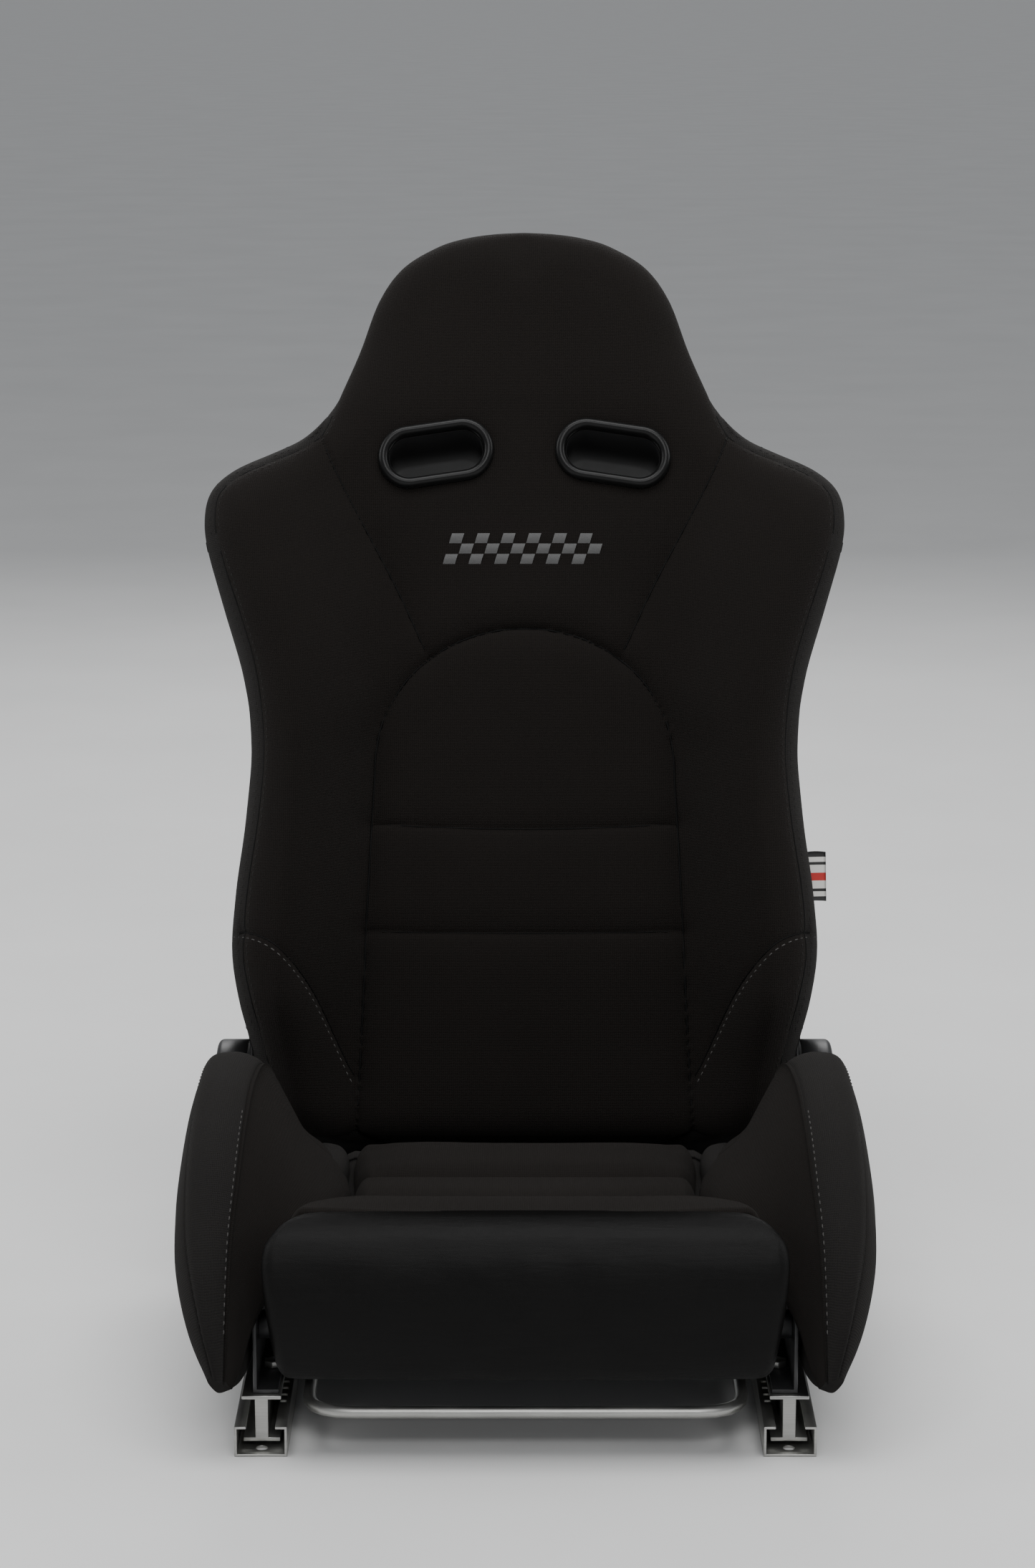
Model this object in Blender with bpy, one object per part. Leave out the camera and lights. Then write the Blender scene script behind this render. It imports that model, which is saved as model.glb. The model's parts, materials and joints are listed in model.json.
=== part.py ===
"""Reclining racing seat on slider rails, for Blender 4.5 (bpy, bmesh, mathutils).

Metres, +Z up.  The seat faces -Y, so +X is the occupant's left.  Every piece hangs from the empty "seat",
which puts the world origin on the floor under the middle of the whole seat.  Places in this file are in
the seat's own frame: y = 0 midway along the slider rails, z = 0 on the floor.

The backrest pieces hang from the empty "recline_axis", which leans back with the backrest.  In that frame
z runs up the back and -y points forward, so a distance forward of the hinge is written as "proud".
"""

import math

import bmesh
import bpy
from mathutils import Matrix, Vector

# ---------------------------------------------------------------- driving dimensions
GAP = 0.0003                 # air between pieces that touch
FRAME_CENTRE_Y = 0.1104      # from the rails' middle to the middle of the whole seat

RECLINE_Y = 0.213            # hinge of the backrest
RECLINE_Z = 0.140
RECLINE_ANGLE = 18.0         # degrees that the back leans at rest

RAIL_X = 0.200               # middle of each slider rail
LOWER_RAIL_HALF = 0.220      # half length
LOWER_RAIL_HEIGHT = 0.024
RAIL_TOP = 0.043             # top of the sliding rail
SHEET = 0.003                # pressed steel

SIDE_PLATE_X = 0.205         # middle of the upright side plates
CUSHION_FRONT_Y = -0.2043
CUSHION_REAR_Y = 0.128
CUSHION_TILT = math.radians(8.4)
CUSHION_REAR_Z = 0.139
FOAM_BOTTOM_Z = 0.107

BACK_REST_X = 0.2305         # half width of the back between the hinge arms
ARM_X = 0.2330               # middle of the moving hinge arm
DISC_MOVING_X = 0.23715
DISC_FIXED_X = 0.24215
EAR_X = 0.2463               # middle of the fixed ear on the base
COVER_OUTER_X = 0.2620
SHAFT_RADIUS = 0.006
DISC_RADIUS = 0.038
EAR_RADIUS = 0.050
COVER_RADIUS = 0.063
COVER_WALL = 0.0025

SHELL_PROUD = -0.045         # rear face of the back
SHELL_FRONT = 0.0133         # where rear shell and front cushion meet
INSERT_PROUD = 0.055         # front face of the back's centre
SLOT_X, SLOT_UP = 0.076, 0.563
SLOT_LENGTH, SLOT_HEIGHT = 0.082, 0.036
SLOT_TILT = math.radians(8.5)
SLOT_FALL = 0.20               # how far the sleeves drop towards the rear, per unit of depth

BAR_PIVOT_Y, BAR_PIVOT_Z = 0.020, 0.036
BAR_ARM_X = 0.165

# Half width of the back against height above the hinge, bottom to crown.
BACK_OUTLINE = [
    (-0.013, 0.222), (0.043, 0.227), (0.125, 0.246), (0.225, 0.238), (0.310, 0.231),
    (0.434, 0.256), (0.500, 0.275), (0.546, 0.257), (0.583, 0.188), (0.640, 0.150),
    (0.709, 0.122), (0.747, 0.075), (0.757, 0.028),
]
# How far the side bolsters of the back stand in front of its centre.
BOLSTER_RISE = [
    (-0.013, 0.006), (0.060, 0.030), (0.140, 0.048), (0.380, 0.052), (0.500, 0.040),
    (0.590, 0.012), (0.757, 0.0),
]
# Front face of the back's centre: flat, then rolling back over the crown.
CENTRE_PROUD = [(-0.013, 0.055), (0.610, 0.055), (0.650, 0.055), (0.730, 0.047), (0.757, 0.030)]
# Crown of the seat's side bolsters: (y, z), rear to front.
CROWN = [
    (0.122, 0.165), (0.100, 0.190), (0.060, 0.222), (0.020, 0.243), (-0.030, 0.246),
    (-0.080, 0.236), (-0.130, 0.216), (-0.170, 0.190), (-0.200, 0.163), (-0.222, 0.136),
    (-0.236, 0.110), (-0.2435, 0.085),
]

FABRIC = ("fabric", (0.020, 0.019, 0.018), 0.92, 0.0)
VINYL = ("leatherette", (0.022, 0.020, 0.018), 0.42, 0.0)
FOAM = ("foam", (0.36, 0.34, 0.28), 0.95, 0.0)
PLASTIC = ("black_plastic", (0.018, 0.018, 0.019), 0.38, 0.0)
BLACK_STEEL = ("black_steel", (0.035, 0.035, 0.037), 0.48, 0.6)
ZINC_STEEL = ("zinc_steel", (0.55, 0.55, 0.53), 0.38, 1.0)
SPRING_STEEL = ("spring_steel", (0.20, 0.20, 0.21), 0.35, 1.0)
WEBBING = ("webbing", (0.045, 0.045, 0.045), 0.85, 0.0)
TAG_CLOTH = ("tag_cloth", (0.70, 0.69, 0.67), 0.85, 0.0)


# ---------------------------------------------------------------- small tools
def clear_scene():
    for old in list(bpy.data.objects):
        bpy.data.objects.remove(old, do_unlink=True)


def paint(obj, finish):
    """Give the object its own material."""
    label, colour, roughness, metallic = finish
    material = bpy.data.materials.new(obj.name + "_" + label)
    material.use_nodes = True
    shader = material.node_tree.nodes["Principled BSDF"]
    shader.inputs["Base Color"].default_value = (*colour, 1.0)
    shader.inputs["Roughness"].default_value = roughness
    shader.inputs["Metallic"].default_value = metallic
    material.diffuse_color = (*colour, 1.0)
    obj.data.materials.append(material)


def empty(name, location, parent=None, lean=0.0):
    obj = bpy.data.objects.new(name, None)
    bpy.context.scene.collection.objects.link(obj)
    obj.location = location
    obj.rotation_euler = (lean, 0.0, 0.0)
    obj.parent = parent
    return obj


def finish_mesh(name, mesh_builder, finish, parent, location=(0, 0, 0), smooth=False):
    """Close a bmesh into a named, painted object."""
    bmesh.ops.remove_doubles(mesh_builder, verts=mesh_builder.verts, dist=1e-6)
    bmesh.ops.recalc_face_normals(mesh_builder, faces=mesh_builder.faces)
    mesh = bpy.data.meshes.new(name)
    mesh_builder.to_mesh(mesh)
    mesh_builder.free()
    if smooth:
        mesh.polygons.foreach_set("use_smooth", [True] * len(mesh.polygons))
    obj = bpy.data.objects.new(name, mesh)
    bpy.context.scene.collection.objects.link(obj)
    obj.location = location
    obj.parent = parent
    if finish is not None:
        paint(obj, finish)
    return obj


def eased(points, at):
    """Smooth value through a few (position, value) points given in rising position."""
    if at <= points[0][0]:
        return points[0][1]
    for i in range(len(points) - 1):
        (a, va), (b, vb) = points[i], points[i + 1]
        if at <= b:
            before = points[max(i - 1, 0)]
            after = points[min(i + 2, len(points) - 1)]
            slope_a = (vb - before[1]) / (b - before[0])
            slope_b = (after[1] - va) / (after[0] - a)
            t = (at - a) / (b - a)
            span = b - a
            return (
                (2 * t**3 - 3 * t**2 + 1) * va + (t**3 - 2 * t**2 + t) * span * slope_a
                + (3 * t**2 - 2 * t**3) * vb + (t**3 - t**2) * span * slope_b
            )
    return points[-1][1]


def loft(rings, closed_ends=True, wrap=False):
    """Skin between rings of the same count; the ends are capped, or the last ring meets the first."""
    builder = bmesh.new()
    loops = [[builder.verts.new(p) for p in ring] for ring in rings]
    pairs = list(zip(loops, loops[1:]))
    if wrap:
        pairs.append((loops[-1], loops[0]))
    for first, second in pairs:
        count = len(first)
        for i in range(count):
            j = (i + 1) % count
            builder.faces.new((first[i], first[j], second[j], second[i]))
    if closed_ends and not wrap:
        builder.faces.new(loops[0])
        builder.faces.new(loops[-1])
    return builder


def prism_x(name, outline, x_from, x_to, finish, parent, location=(0, 0, 0)):
    """Plate cut to a (y, z) outline, lying across X."""
    rings = [[(x, y, z) for y, z in outline] for x in (x_from, x_to)]
    return finish_mesh(name, loft(rings), finish, parent, location)


def prism_y(name, outline, y_from, y_to, finish, parent):
    """Bar of an (x, z) section running along Y."""
    rings = [[(x, y, z) for x, z in outline] for y in (y_from, y_to)]
    return finish_mesh(name, loft(rings), finish, parent)


def circle(radius, count, centre=(0.0, 0.0), start=0.0):
    return [
        (
            centre[0] + radius * math.cos(start + 2 * math.pi * i / count),
            centre[1] + radius * math.sin(start + 2 * math.pi * i / count),
        )
        for i in range(count)
    ]


def arc(radius, from_deg, to_deg, count, centre=(0.0, 0.0)):
    """Points of an arc in the (y, z) plane; 0 degrees is +y, 90 degrees is +z."""
    points = []
    for i in range(count + 1):
        angle = math.radians(from_deg + (to_deg - from_deg) * i / count)
        points.append((centre[0] + radius * math.cos(angle), centre[1] + radius * math.sin(angle)))
    return points


def turned(name, profile, finish, parent, location, count=24):
    """Solid turned about the X axis from a (x, radius) profile; radius 0 ends close it."""
    rings = [[(x, y, z) for y, z in circle(r, count)] for x, r in profile]
    return finish_mesh(name, loft(rings), finish, parent, location)


def ring_about_x(name, x_from, x_to, outer, inner, finish, parent, location, count=28):
    """Washer-like ring about X."""
    section = [(x_from, outer), (x_to, outer), (x_to, inner), (x_from, inner)]
    rings = [[(x, y, z) for y, z in circle(r, count)] for x, r in section]
    return finish_mesh(name, loft(rings, wrap=True), finish, parent, location)


def frames_along(path):
    """A square-on frame at each point of a path, carried along without twisting."""
    frames = []
    side = None
    for i, point in enumerate(path):
        ahead = path[min(i + 1, len(path) - 1)]
        behind = path[max(i - 1, 0)]
        forward = (ahead - behind).normalized()
        if side is None:
            side = forward.orthogonal().normalized()
        side = (side - forward * side.dot(forward)).normalized()
        frames.append((point, side, forward.cross(side)))
    return frames


def swept(path, radius, count):
    """Rings of a round wire or tube along a path."""
    rings = []
    for point, side, up in frames_along(path):
        rings.append([point + side * a + up * b for a, b in circle(radius, count)])
    return rings


def wire(name, path, radius, finish, parent, count=6):
    path = [Vector(p) for p in path]
    return finish_mesh(name, loft(swept(path, radius, count)), finish, parent, smooth=True)


def pipe(name, path, outer, inner, finish, parent, count=12):
    """Open-ended tube along a path."""
    path = [Vector(p) for p in path]
    outside = swept(path, outer, count)
    inside = swept(path, inner, count)
    return finish_mesh(name, loft(outside + inside[::-1], wrap=True), finish, parent, smooth=True)


def rounded_path(corners, radius, steps=4):
    """A path through corners with each inner corner rounded."""
    corners = [Vector(c) for c in corners]
    path = [corners[0]]
    for before, here, after in zip(corners, corners[1:], corners[2:]):
        start = here + (before - here).normalized() * radius
        end = here + (after - here).normalized() * radius
        for i in range(steps + 1):
            t = i / steps
            path.append(start * (1 - t) ** 2 + here * 2 * t * (1 - t) + end * t**2)
    path.append(corners[-1])
    return path


def cut(target, cutter):
    """Take the cutter's shape out of the target."""
    cutter.hide_render = True
    cutter.display_type = "WIRE"
    modifier = target.modifiers.new("cut_" + cutter.name, "BOOLEAN")
    modifier.operation = "DIFFERENCE"
    modifier.solver = "EXACT"
    modifier.object = cutter


def bake(obj, *used):
    """Keep the object as its modifiers leave it, then remove the cutters."""
    bpy.context.view_layer.update()
    evaluated = obj.evaluated_get(bpy.context.evaluated_depsgraph_get())
    mesh = bpy.data.meshes.new_from_object(evaluated)
    obj.modifiers.clear()
    obj.data = mesh
    for cutter in used:
        bpy.data.objects.remove(cutter, do_unlink=True)


def drill_x(target, y, z, radius, x_from, x_to, parent, count=16):
    """Round hole along X."""
    drill = turned("drill", [(x_from, radius), (x_to, radius)], None, parent, (0, y, z), count)
    cut(target, drill)
    bake(target, drill)


def side_name(base, side):
    return base + ("_left" if side > 0 else "_right")


# ---------------------------------------------------------------- slider rails
def lower_rail(side, parent):
    """C-section floor rail with inturned lips and a row of latch slots in the inner lip."""
    half, wall, slot_half = 0.020, 0.002, 0.011
    top = LOWER_RAIL_HEIGHT
    section = [
        (-half, 0), (half, 0), (half, top), (slot_half, top), (slot_half, top - wall),
        (half - wall, top - wall), (half - wall, wall), (-half + wall, wall),
        (-half + wall, top - wall), (-slot_half, top - wall), (-slot_half, top), (-half, top),
    ]
    centre = side * RAIL_X
    outline = [(centre + x, z) for x, z in section]
    rail = prism_y(
        side_name("lower_rail", side), outline, -LOWER_RAIL_HALF, LOWER_RAIL_HALF, ZINC_STEEL, parent
    )
    slots = bmesh.new()
    pitch, slot_count = 0.014, 17
    for i in range(slot_count):
        y = (i - slot_count // 2) * pitch - 0.055
        place = Matrix.Translation((centre - side * 0.0140, y, top)) @ Matrix.Diagonal(
            (0.005, 0.007, 0.012, 1.0)
        )
        bmesh.ops.create_cube(slots, size=1.0, matrix=place)
    cutter = finish_mesh("slots", slots, None, parent)
    cut(rail, cutter)
    bake(rail, cutter)
    for y in (-LOWER_RAIL_HALF + 0.014, LOWER_RAIL_HALF - 0.014):
        hole = bmesh.new()
        bmesh.ops.create_cone(
            hole, cap_ends=True, segments=16, radius1=0.0045, radius2=0.0045, depth=0.02,
            matrix=Matrix.Translation((centre, y, 0)),
        )
        drill = finish_mesh("floor_hole", hole, None, parent)
        cut(rail, drill)
        bake(rail, drill)
    return rail


def upper_rail(side, parent):
    """Sliding rail: a foot inside the floor rail, a web through its slot and a flange on top."""
    foot, web, flange = 0.014, 0.005, 0.015
    foot_low, foot_high, flange_low = 0.0068, 0.0098, 0.0400
    section = [
        (-foot, foot_low), (foot, foot_low), (foot, foot_high), (web, foot_high),
        (web, flange_low), (flange, flange_low), (flange, RAIL_TOP), (-flange, RAIL_TOP),
        (-flange, flange_low), (-web, flange_low), (-web, foot_high), (-foot, foot_high),
    ]
    outline = [(side * RAIL_X + x, z) for x, z in section]
    return prism_y(side_name("upper_rail", side), outline, -0.205, 0.275, ZINC_STEEL, parent)


def ball_cage(side, parent):
    """Plastic strip that carries the bearing balls between the two rails."""
    centre = side * RAIL_X
    strip_low, strip_high, half_width, half_length = 0.0035, 0.0052, 0.008, 0.075
    section = [
        (-half_width, strip_low), (half_width, strip_low),
        (half_width, strip_high), (-half_width, strip_high),
    ]
    cage = prism_y(
        side_name("ball_cage", side), [(centre + x, z) for x, z in section],
        -half_length, half_length, PLASTIC, parent,
    )
    ball_radius = 0.0020
    balls = []
    for y in (-0.06, -0.02, 0.02, 0.06):
        ball = bmesh.new()
        bmesh.ops.create_icosphere(
            ball, subdivisions=1, radius=ball_radius,
            matrix=Matrix.Translation((centre, y, (strip_low + strip_high) / 2)),
        )
        balls.append(finish_mesh("ball", ball, None, parent))
        modifier = cage.modifiers.new("ball", "BOOLEAN")
        modifier.operation = "UNION"
        modifier.object = balls[-1]
    bake(cage, *balls)
    return cage


# ---------------------------------------------------------------- seat base
def side_plate(side, parent):
    """Upright pressed plate bolted along the sliding rail."""
    web_in, web_out = SIDE_PLATE_X - SHEET / 2, SIDE_PLATE_X + SHEET / 2
    low = RAIL_TOP + GAP
    high, foot_in = 0.100, 0.1870
    section = [
        (foot_in, low), (web_out, low), (web_out, high), (web_in, high),
        (web_in, low + SHEET), (foot_in, low + SHEET),
    ]
    outline = [(side * x, z) for x, z in section]
    return prism_y(side_name("side_plate", side), outline, -0.200, 0.118, BLACK_STEEL, parent)


def recliner_bracket(side, parent):
    """Fixed ear that carries the hinge, with a foot on the sliding rail."""
    low = RAIL_TOP + GAP
    ear = arc(EAR_RADIUS, -8, 188, 16, (RECLINE_Y, RECLINE_Z))
    ear += [(RECLINE_Y - 0.055, low), (RECLINE_Y + 0.055, low)]
    inner, outer = side * (EAR_X - SHEET / 2), side * (EAR_X + SHEET / 2)
    plate = prism_x(side_name("recliner_bracket", side), ear, inner, outer, BLACK_STEEL, parent)
    foot_section = [(0.187, low), (EAR_X, low), (EAR_X, low + SHEET), (0.187, low + SHEET)]
    foot = prism_y(
        "foot", [(side * x, z) for x, z in foot_section],
        RECLINE_Y - 0.070, RECLINE_Y + 0.055, None, parent,
    )
    modifier = plate.modifiers.new("foot", "BOOLEAN")
    modifier.operation = "UNION"
    modifier.object = foot
    bake(plate, foot)
    drill_x(plate, RECLINE_Y, RECLINE_Z, SHAFT_RADIUS + 0.0006, inner - side * 0.01,
            outer + side * 0.01, parent)
    return plate


def cross_tube(name, y, z, parent):
    reach = SIDE_PLATE_X - SHEET / 2 - GAP
    return pipe(name, [(-reach, y, z), (reach, y, z)], 0.011, 0.0095, BLACK_STEEL, parent, 16)


def seat_spring(index, x, parent):
    """Sinuous spring wire from the rear tube to the front tube."""
    rear, front = Vector((0, 0.106, 0.0976)), Vector((0, -0.176, 0.1016))
    bends, swing, steps = 7, 0.017, 42
    path = []
    for i in range(steps + 1):
        t = i / steps
        point = rear.lerp(front, t)
        sway = swing * math.sin(2 * math.pi * bends / 2 * t)
        path.append((x + sway, point.y, point.z))
    return wire("seat_spring_%d" % index, path, 0.0018, SPRING_STEEL, parent, 5)


def cushion_top(y):
    """Height of the seat surface, which rises to the front."""
    return CUSHION_REAR_Z + (CUSHION_REAR_Y - y) * math.tan(CUSHION_TILT)


def cushion_foam(parent):
    """Foam under the seat insert, between the side bolsters."""
    rings = []
    for y in (CUSHION_REAR_Y, 0.05, -0.05, -0.13, CUSHION_FRONT_Y + GAP):
        top = cushion_top(y)
        half = 0.150
        rings.append([
            (-half, y, FOAM_BOTTOM_Z), (half, y, FOAM_BOTTOM_Z), (half, y, top - 0.012),
            (half - 0.014, y, top), (-half + 0.014, y, top), (-half, y, top - 0.012),
        ])
    return finish_mesh("cushion_foam", loft(rings), FOAM, parent)


def front_roll(parent):
    """Leatherette roll over the front edge of the seat."""
    top = cushion_top(CUSHION_FRONT_Y)
    rear = CUSHION_FRONT_Y - GAP
    profile = [
        (rear, top - 0.002), (-0.222, 0.180), (-0.236, 0.163), (-0.243, 0.140),
        (-0.2435, 0.110), (-0.240, 0.084), (-0.232, 0.068), (rear, 0.068),
    ]
    rings = []
    for x, shrink in ((-0.194, 0.88), (-0.184, 1.0), (0.184, 1.0), (0.194, 0.88)):
        rings.append([(x, rear + (y - rear) * shrink, 0.068 + (z - 0.068) * shrink) for y, z in profile])
    return finish_mesh("front_roll", loft(rings), VINYL, parent)


def seat_bolster(side, parent):
    """Tall side bolster of the seat, wrapped over the side plate."""
    crown = [(-y, z) for y, z in CROWN]
    rings = []
    for y, z in CROWN:
        top = eased(crown, -y)
        bottom = 0.058 if y < 0.10 else 0.075
        forward = max(0.0, min(1.0, (-0.150 - y) / 0.045))
        inner_foot = 0.160 + (0.212 - 0.160) * forward
        foot_height = min(top - 0.02, cushion_top(y) - 0.006)
        under = min(0.1035, top - 0.012)
        widest = bottom + (top - bottom) * 0.45
        ring = [
            (0.2095, bottom), (0.231, bottom), (0.256, bottom + (widest - bottom) * 0.6),
            (0.2655, widest), (0.262, top - (top - widest) * 0.30), (0.250, top - 0.004),
            (0.232, top), (0.2145, top - 0.006), (inner_foot + 0.002, foot_height),
            (min(inner_foot, 0.2095), under), (0.2095, under - 0.001),
        ]
        rings.append([(side * x, y, z_at) for x, z_at in ring])
    return finish_mesh(side_name("seat_bolster", side), loft(rings), FOAM, parent)


def rail_bolt(name, side, y, parent):
    """Hexagon bolt head that holds the base to the sliding rail."""
    low = RAIL_TOP + SHEET + 2 * GAP
    builder = bmesh.new()
    bmesh.ops.create_cone(
        builder, cap_ends=True, segments=6, radius1=0.0072, radius2=0.0072, depth=0.0053,
        matrix=Matrix.Translation((side * 0.1945, y, low + 0.0053 / 2)),
    )
    return finish_mesh(side_name(name, side), builder, ZINC_STEEL, parent)


# ---------------------------------------------------------------- recliner on the base
def fixed_disc(side, parent):
    half = 0.0022
    return ring_about_x(
        side_name("recliner_disc_fixed", side), side * (DISC_FIXED_X - half), side * (DISC_FIXED_X + half),
        DISC_RADIUS, SHAFT_RADIUS + 0.0006, ZINC_STEEL, parent, (0, RECLINE_Y, RECLINE_Z),
    )


def return_spring(side, parent):
    """Flat clock spring that lifts the backrest."""
    near, far = side * (EAR_X + SHEET / 2 + GAP), side * (EAR_X + SHEET / 2 + 0.0055)
    turns, start, end, half_thick = 2.75, 0.012, 0.040, 0.0011
    steps = int(turns * 15)
    rings = []
    for i in range(steps + 1):
        t = i / steps
        angle = 2 * math.pi * turns * t
        radius = start + (end - start) * t
        ring = []
        for x, r in (
            (near, radius - half_thick), (far, radius - half_thick),
            (far, radius + half_thick), (near, radius + half_thick),
        ):
            ring.append((x, r * math.cos(angle), r * math.sin(angle)))
        rings.append(ring)
    return finish_mesh(
        side_name("return_spring", side), loft(rings), SPRING_STEEL, parent, (0, RECLINE_Y, RECLINE_Z)
    )


def cover_outline(radius, below=0.0):
    """Round over the hinge, with a straight skirt down to the rail: (y, z) from the hinge."""
    outline = arc(radius, 0, 180, 18)
    skirt = RAIL_TOP + SHEET + 0.006 - RECLINE_Z - below
    return outline + [(-radius, skirt), (radius, skirt)]


def recliner_cover(side, parent):
    """Moulded cap over the hinge, open towards the backrest and at the foot."""
    open_x, face_x = side * (ARM_X + SHEET / 2 + 0.0012), side * COVER_OUTER_X
    floor_x = face_x - side * COVER_WALL
    chamfer = 0.004
    outer = cover_outline(COVER_RADIUS)
    edge = cover_outline(COVER_RADIUS - chamfer)
    rings = [
        [(face_x, y, z) for y, z in edge],
        [(face_x - side * chamfer, y, z) for y, z in outer],
        [(open_x, y, z) for y, z in outer],
    ]
    hinge = (0, RECLINE_Y, RECLINE_Z)
    cover = finish_mesh(side_name("recliner_cover", side), loft(rings), PLASTIC, parent, hinge)
    hollow = prism_x("hollow", cover_outline(COVER_RADIUS - COVER_WALL, 0.01),
                     open_x - side * 0.01, floor_x, None, parent, hinge)
    cut(cover, hollow)
    bake(cover, hollow)
    if side > 0:
        drill_x(cover, RECLINE_Y, RECLINE_Z, SHAFT_RADIUS + 0.001, floor_x - 0.01, face_x + 0.01, parent)
    return cover


# ---------------------------------------------------------------- release handles
def recliner_shaft(parent):
    """Cross shaft that unlocks both hinges together."""
    left = COVER_OUTER_X + 0.0062
    right = -(EAR_X + SHEET / 2 + 0.004)
    return turned(
        "recliner_shaft",
        [(right, SHAFT_RADIUS - 0.001), (right + 0.001, SHAFT_RADIUS),
         (left - 0.001, SHAFT_RADIUS), (left, SHAFT_RADIUS - 0.001)],
        ZINC_STEEL, parent, (0, 0, 0), 16,
    )


def recline_lever(parent):
    """Lever plate on the end of the cross shaft, pointing forward along the bolster."""
    near, far = COVER_OUTER_X + 0.0012, COVER_OUTER_X + 0.0042
    tip = Vector((-0.112, 0.030))
    along = tip.normalized()
    across = Vector((-along.y, along.x))
    hub, half = 0.013, 0.007
    turn = math.degrees(math.atan2(along.y, along.x))
    outline = arc(hub, turn + 35, turn + 325, 14)
    for sign in (-1, 1):
        end = tip + across * half * sign
        outline.append((end.x, end.y))
    lever = prism_x("recline_lever", outline, near, far, BLACK_STEEL, parent)
    drill = turned("drill", [(near - 0.01, SHAFT_RADIUS + GAP), (far + 0.01, SHAFT_RADIUS + GAP)],
                   None, parent, (0, 0, 0), 16)
    cut(lever, drill)
    bake(lever, drill)
    return lever


def lever_grip(parent):
    """Plastic paddle on the outer face of the lever."""
    near, far = COVER_OUTER_X + 0.0042 + GAP, COVER_OUTER_X + 0.0130
    start, end = Vector((-0.045, 0.012)), Vector((-0.118, 0.0316))
    along = (end - start).normalized()
    across = Vector((-along.y, along.x))
    half = 0.011

    def outline(grow):
        points = []
        for i in range(7):
            angle = math.pi * (i / 6 - 0.5)
            point = end + along * math.cos(angle) * (half + grow) + across * math.sin(angle) * (half + grow)
            points.append(point)
        for i in range(7):
            angle = math.pi * (i / 6 + 0.5)
            point = start + along * math.cos(angle) * (half + grow) + across * math.sin(angle) * (half + grow)
            points.append(point)
        return points

    rings = [
        [(x, p.x, p.y) for p in outline(grow)]
        for x, grow in ((near, -0.001), (near + 0.002, 0.0), (far - 0.003, 0.0), (far, -0.003))
    ]
    return finish_mesh("lever_grip", loft(rings), PLASTIC, parent)


def slide_bar(parent):
    """U-shaped bar under the front of the seat; lifting it frees the slider."""
    front_y, front_z = -0.215 - BAR_PIVOT_Y, 0.034 - BAR_PIVOT_Z
    corners = [
        (-BAR_ARM_X, 0, 0), (-BAR_ARM_X, front_y, front_z),
        (BAR_ARM_X, front_y, front_z), (BAR_ARM_X, 0, 0),
    ]
    bar = wire("slide_bar", rounded_path(corners, 0.035, 5), 0.005, ZINC_STEEL, parent, 10)
    eyes = []
    for side in (-1, 1):
        eyes.append(turned(
            "eye", [(side * (BAR_ARM_X - 0.0048), 0.0085), (side * (BAR_ARM_X + 0.0048), 0.0085)],
            None, parent, (0, 0, 0), 16,
        ))
        modifier = bar.modifiers.new("eye", "BOOLEAN")
        modifier.operation = "UNION"
        modifier.object = eyes[-1]
    bake(bar, *eyes)
    for side in (-1, 1):
        drill = turned("drill", [(side * (BAR_ARM_X - 0.02), 0.0044), (side * (BAR_ARM_X + 0.02), 0.0044)],
                       None, parent, (0, 0, 0), 16)
        cut(bar, drill)
        bake(bar, drill)
    return bar


def slide_latch(side, parent):
    """Toothed latch plate on the bar's arm, over the slots of the floor rail."""
    y_from, y_to = -0.0765 - BAR_PIVOT_Y, -0.0335 - BAR_PIVOT_Y
    inner, outer = BAR_ARM_X + 0.0053, RAIL_X - 0.0068
    low, high = 0.0288 - BAR_PIVOT_Z, 0.0318 - BAR_PIVOT_Z
    outline = [(side * x, z) for x, z in ((inner, low), (outer, low), (outer, high), (inner, high))]
    latch = prism_y(side_name("slide_latch", side), outline, y_from, y_to, ZINC_STEEL, parent)
    teeth = []
    pitch, tooth_low = 0.014, LOWER_RAIL_HEIGHT + 0.0005 - BAR_PIVOT_Z
    for i in (-1, 0, 1):
        builder = bmesh.new()
        size = (0.004, 0.005, low + 0.001 - tooth_low)
        place = Matrix.Translation(
            (side * (RAIL_X - 0.0140), -0.055 - BAR_PIVOT_Y + i * pitch, tooth_low + size[2] / 2)
        ) @ Matrix.Diagonal((*size, 1.0))
        bmesh.ops.create_cube(builder, size=1.0, matrix=place)
        teeth.append(finish_mesh("tooth", builder, None, parent))
        modifier = latch.modifiers.new("tooth", "BOOLEAN")
        modifier.operation = "UNION"
        modifier.object = teeth[-1]
    bake(latch, *teeth)
    return latch


def bar_pivot(side, parent):
    """Shouldered pin on the sliding rail that the bar turns on."""
    head, shank_end = BAR_ARM_X - 0.0088, RAIL_X - 0.005 - GAP
    profile = [
        (side * head, 0.0070), (side * (BAR_ARM_X - 0.0052), 0.0070),
        (side * (BAR_ARM_X - 0.0052), 0.0040), (side * shank_end, 0.0038),
    ]
    return turned(
        side_name("bar_pivot", side), profile, ZINC_STEEL, parent, (0, BAR_PIVOT_Y, BAR_PIVOT_Z), 14
    )


# ---------------------------------------------------------------- backrest (x, y = -proud, z = up the back)
def back_half_width(up):
    width = eased(BACK_OUTLINE, up)
    if up < 0.150:
        width = min(width, BACK_REST_X)
    return width


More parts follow.
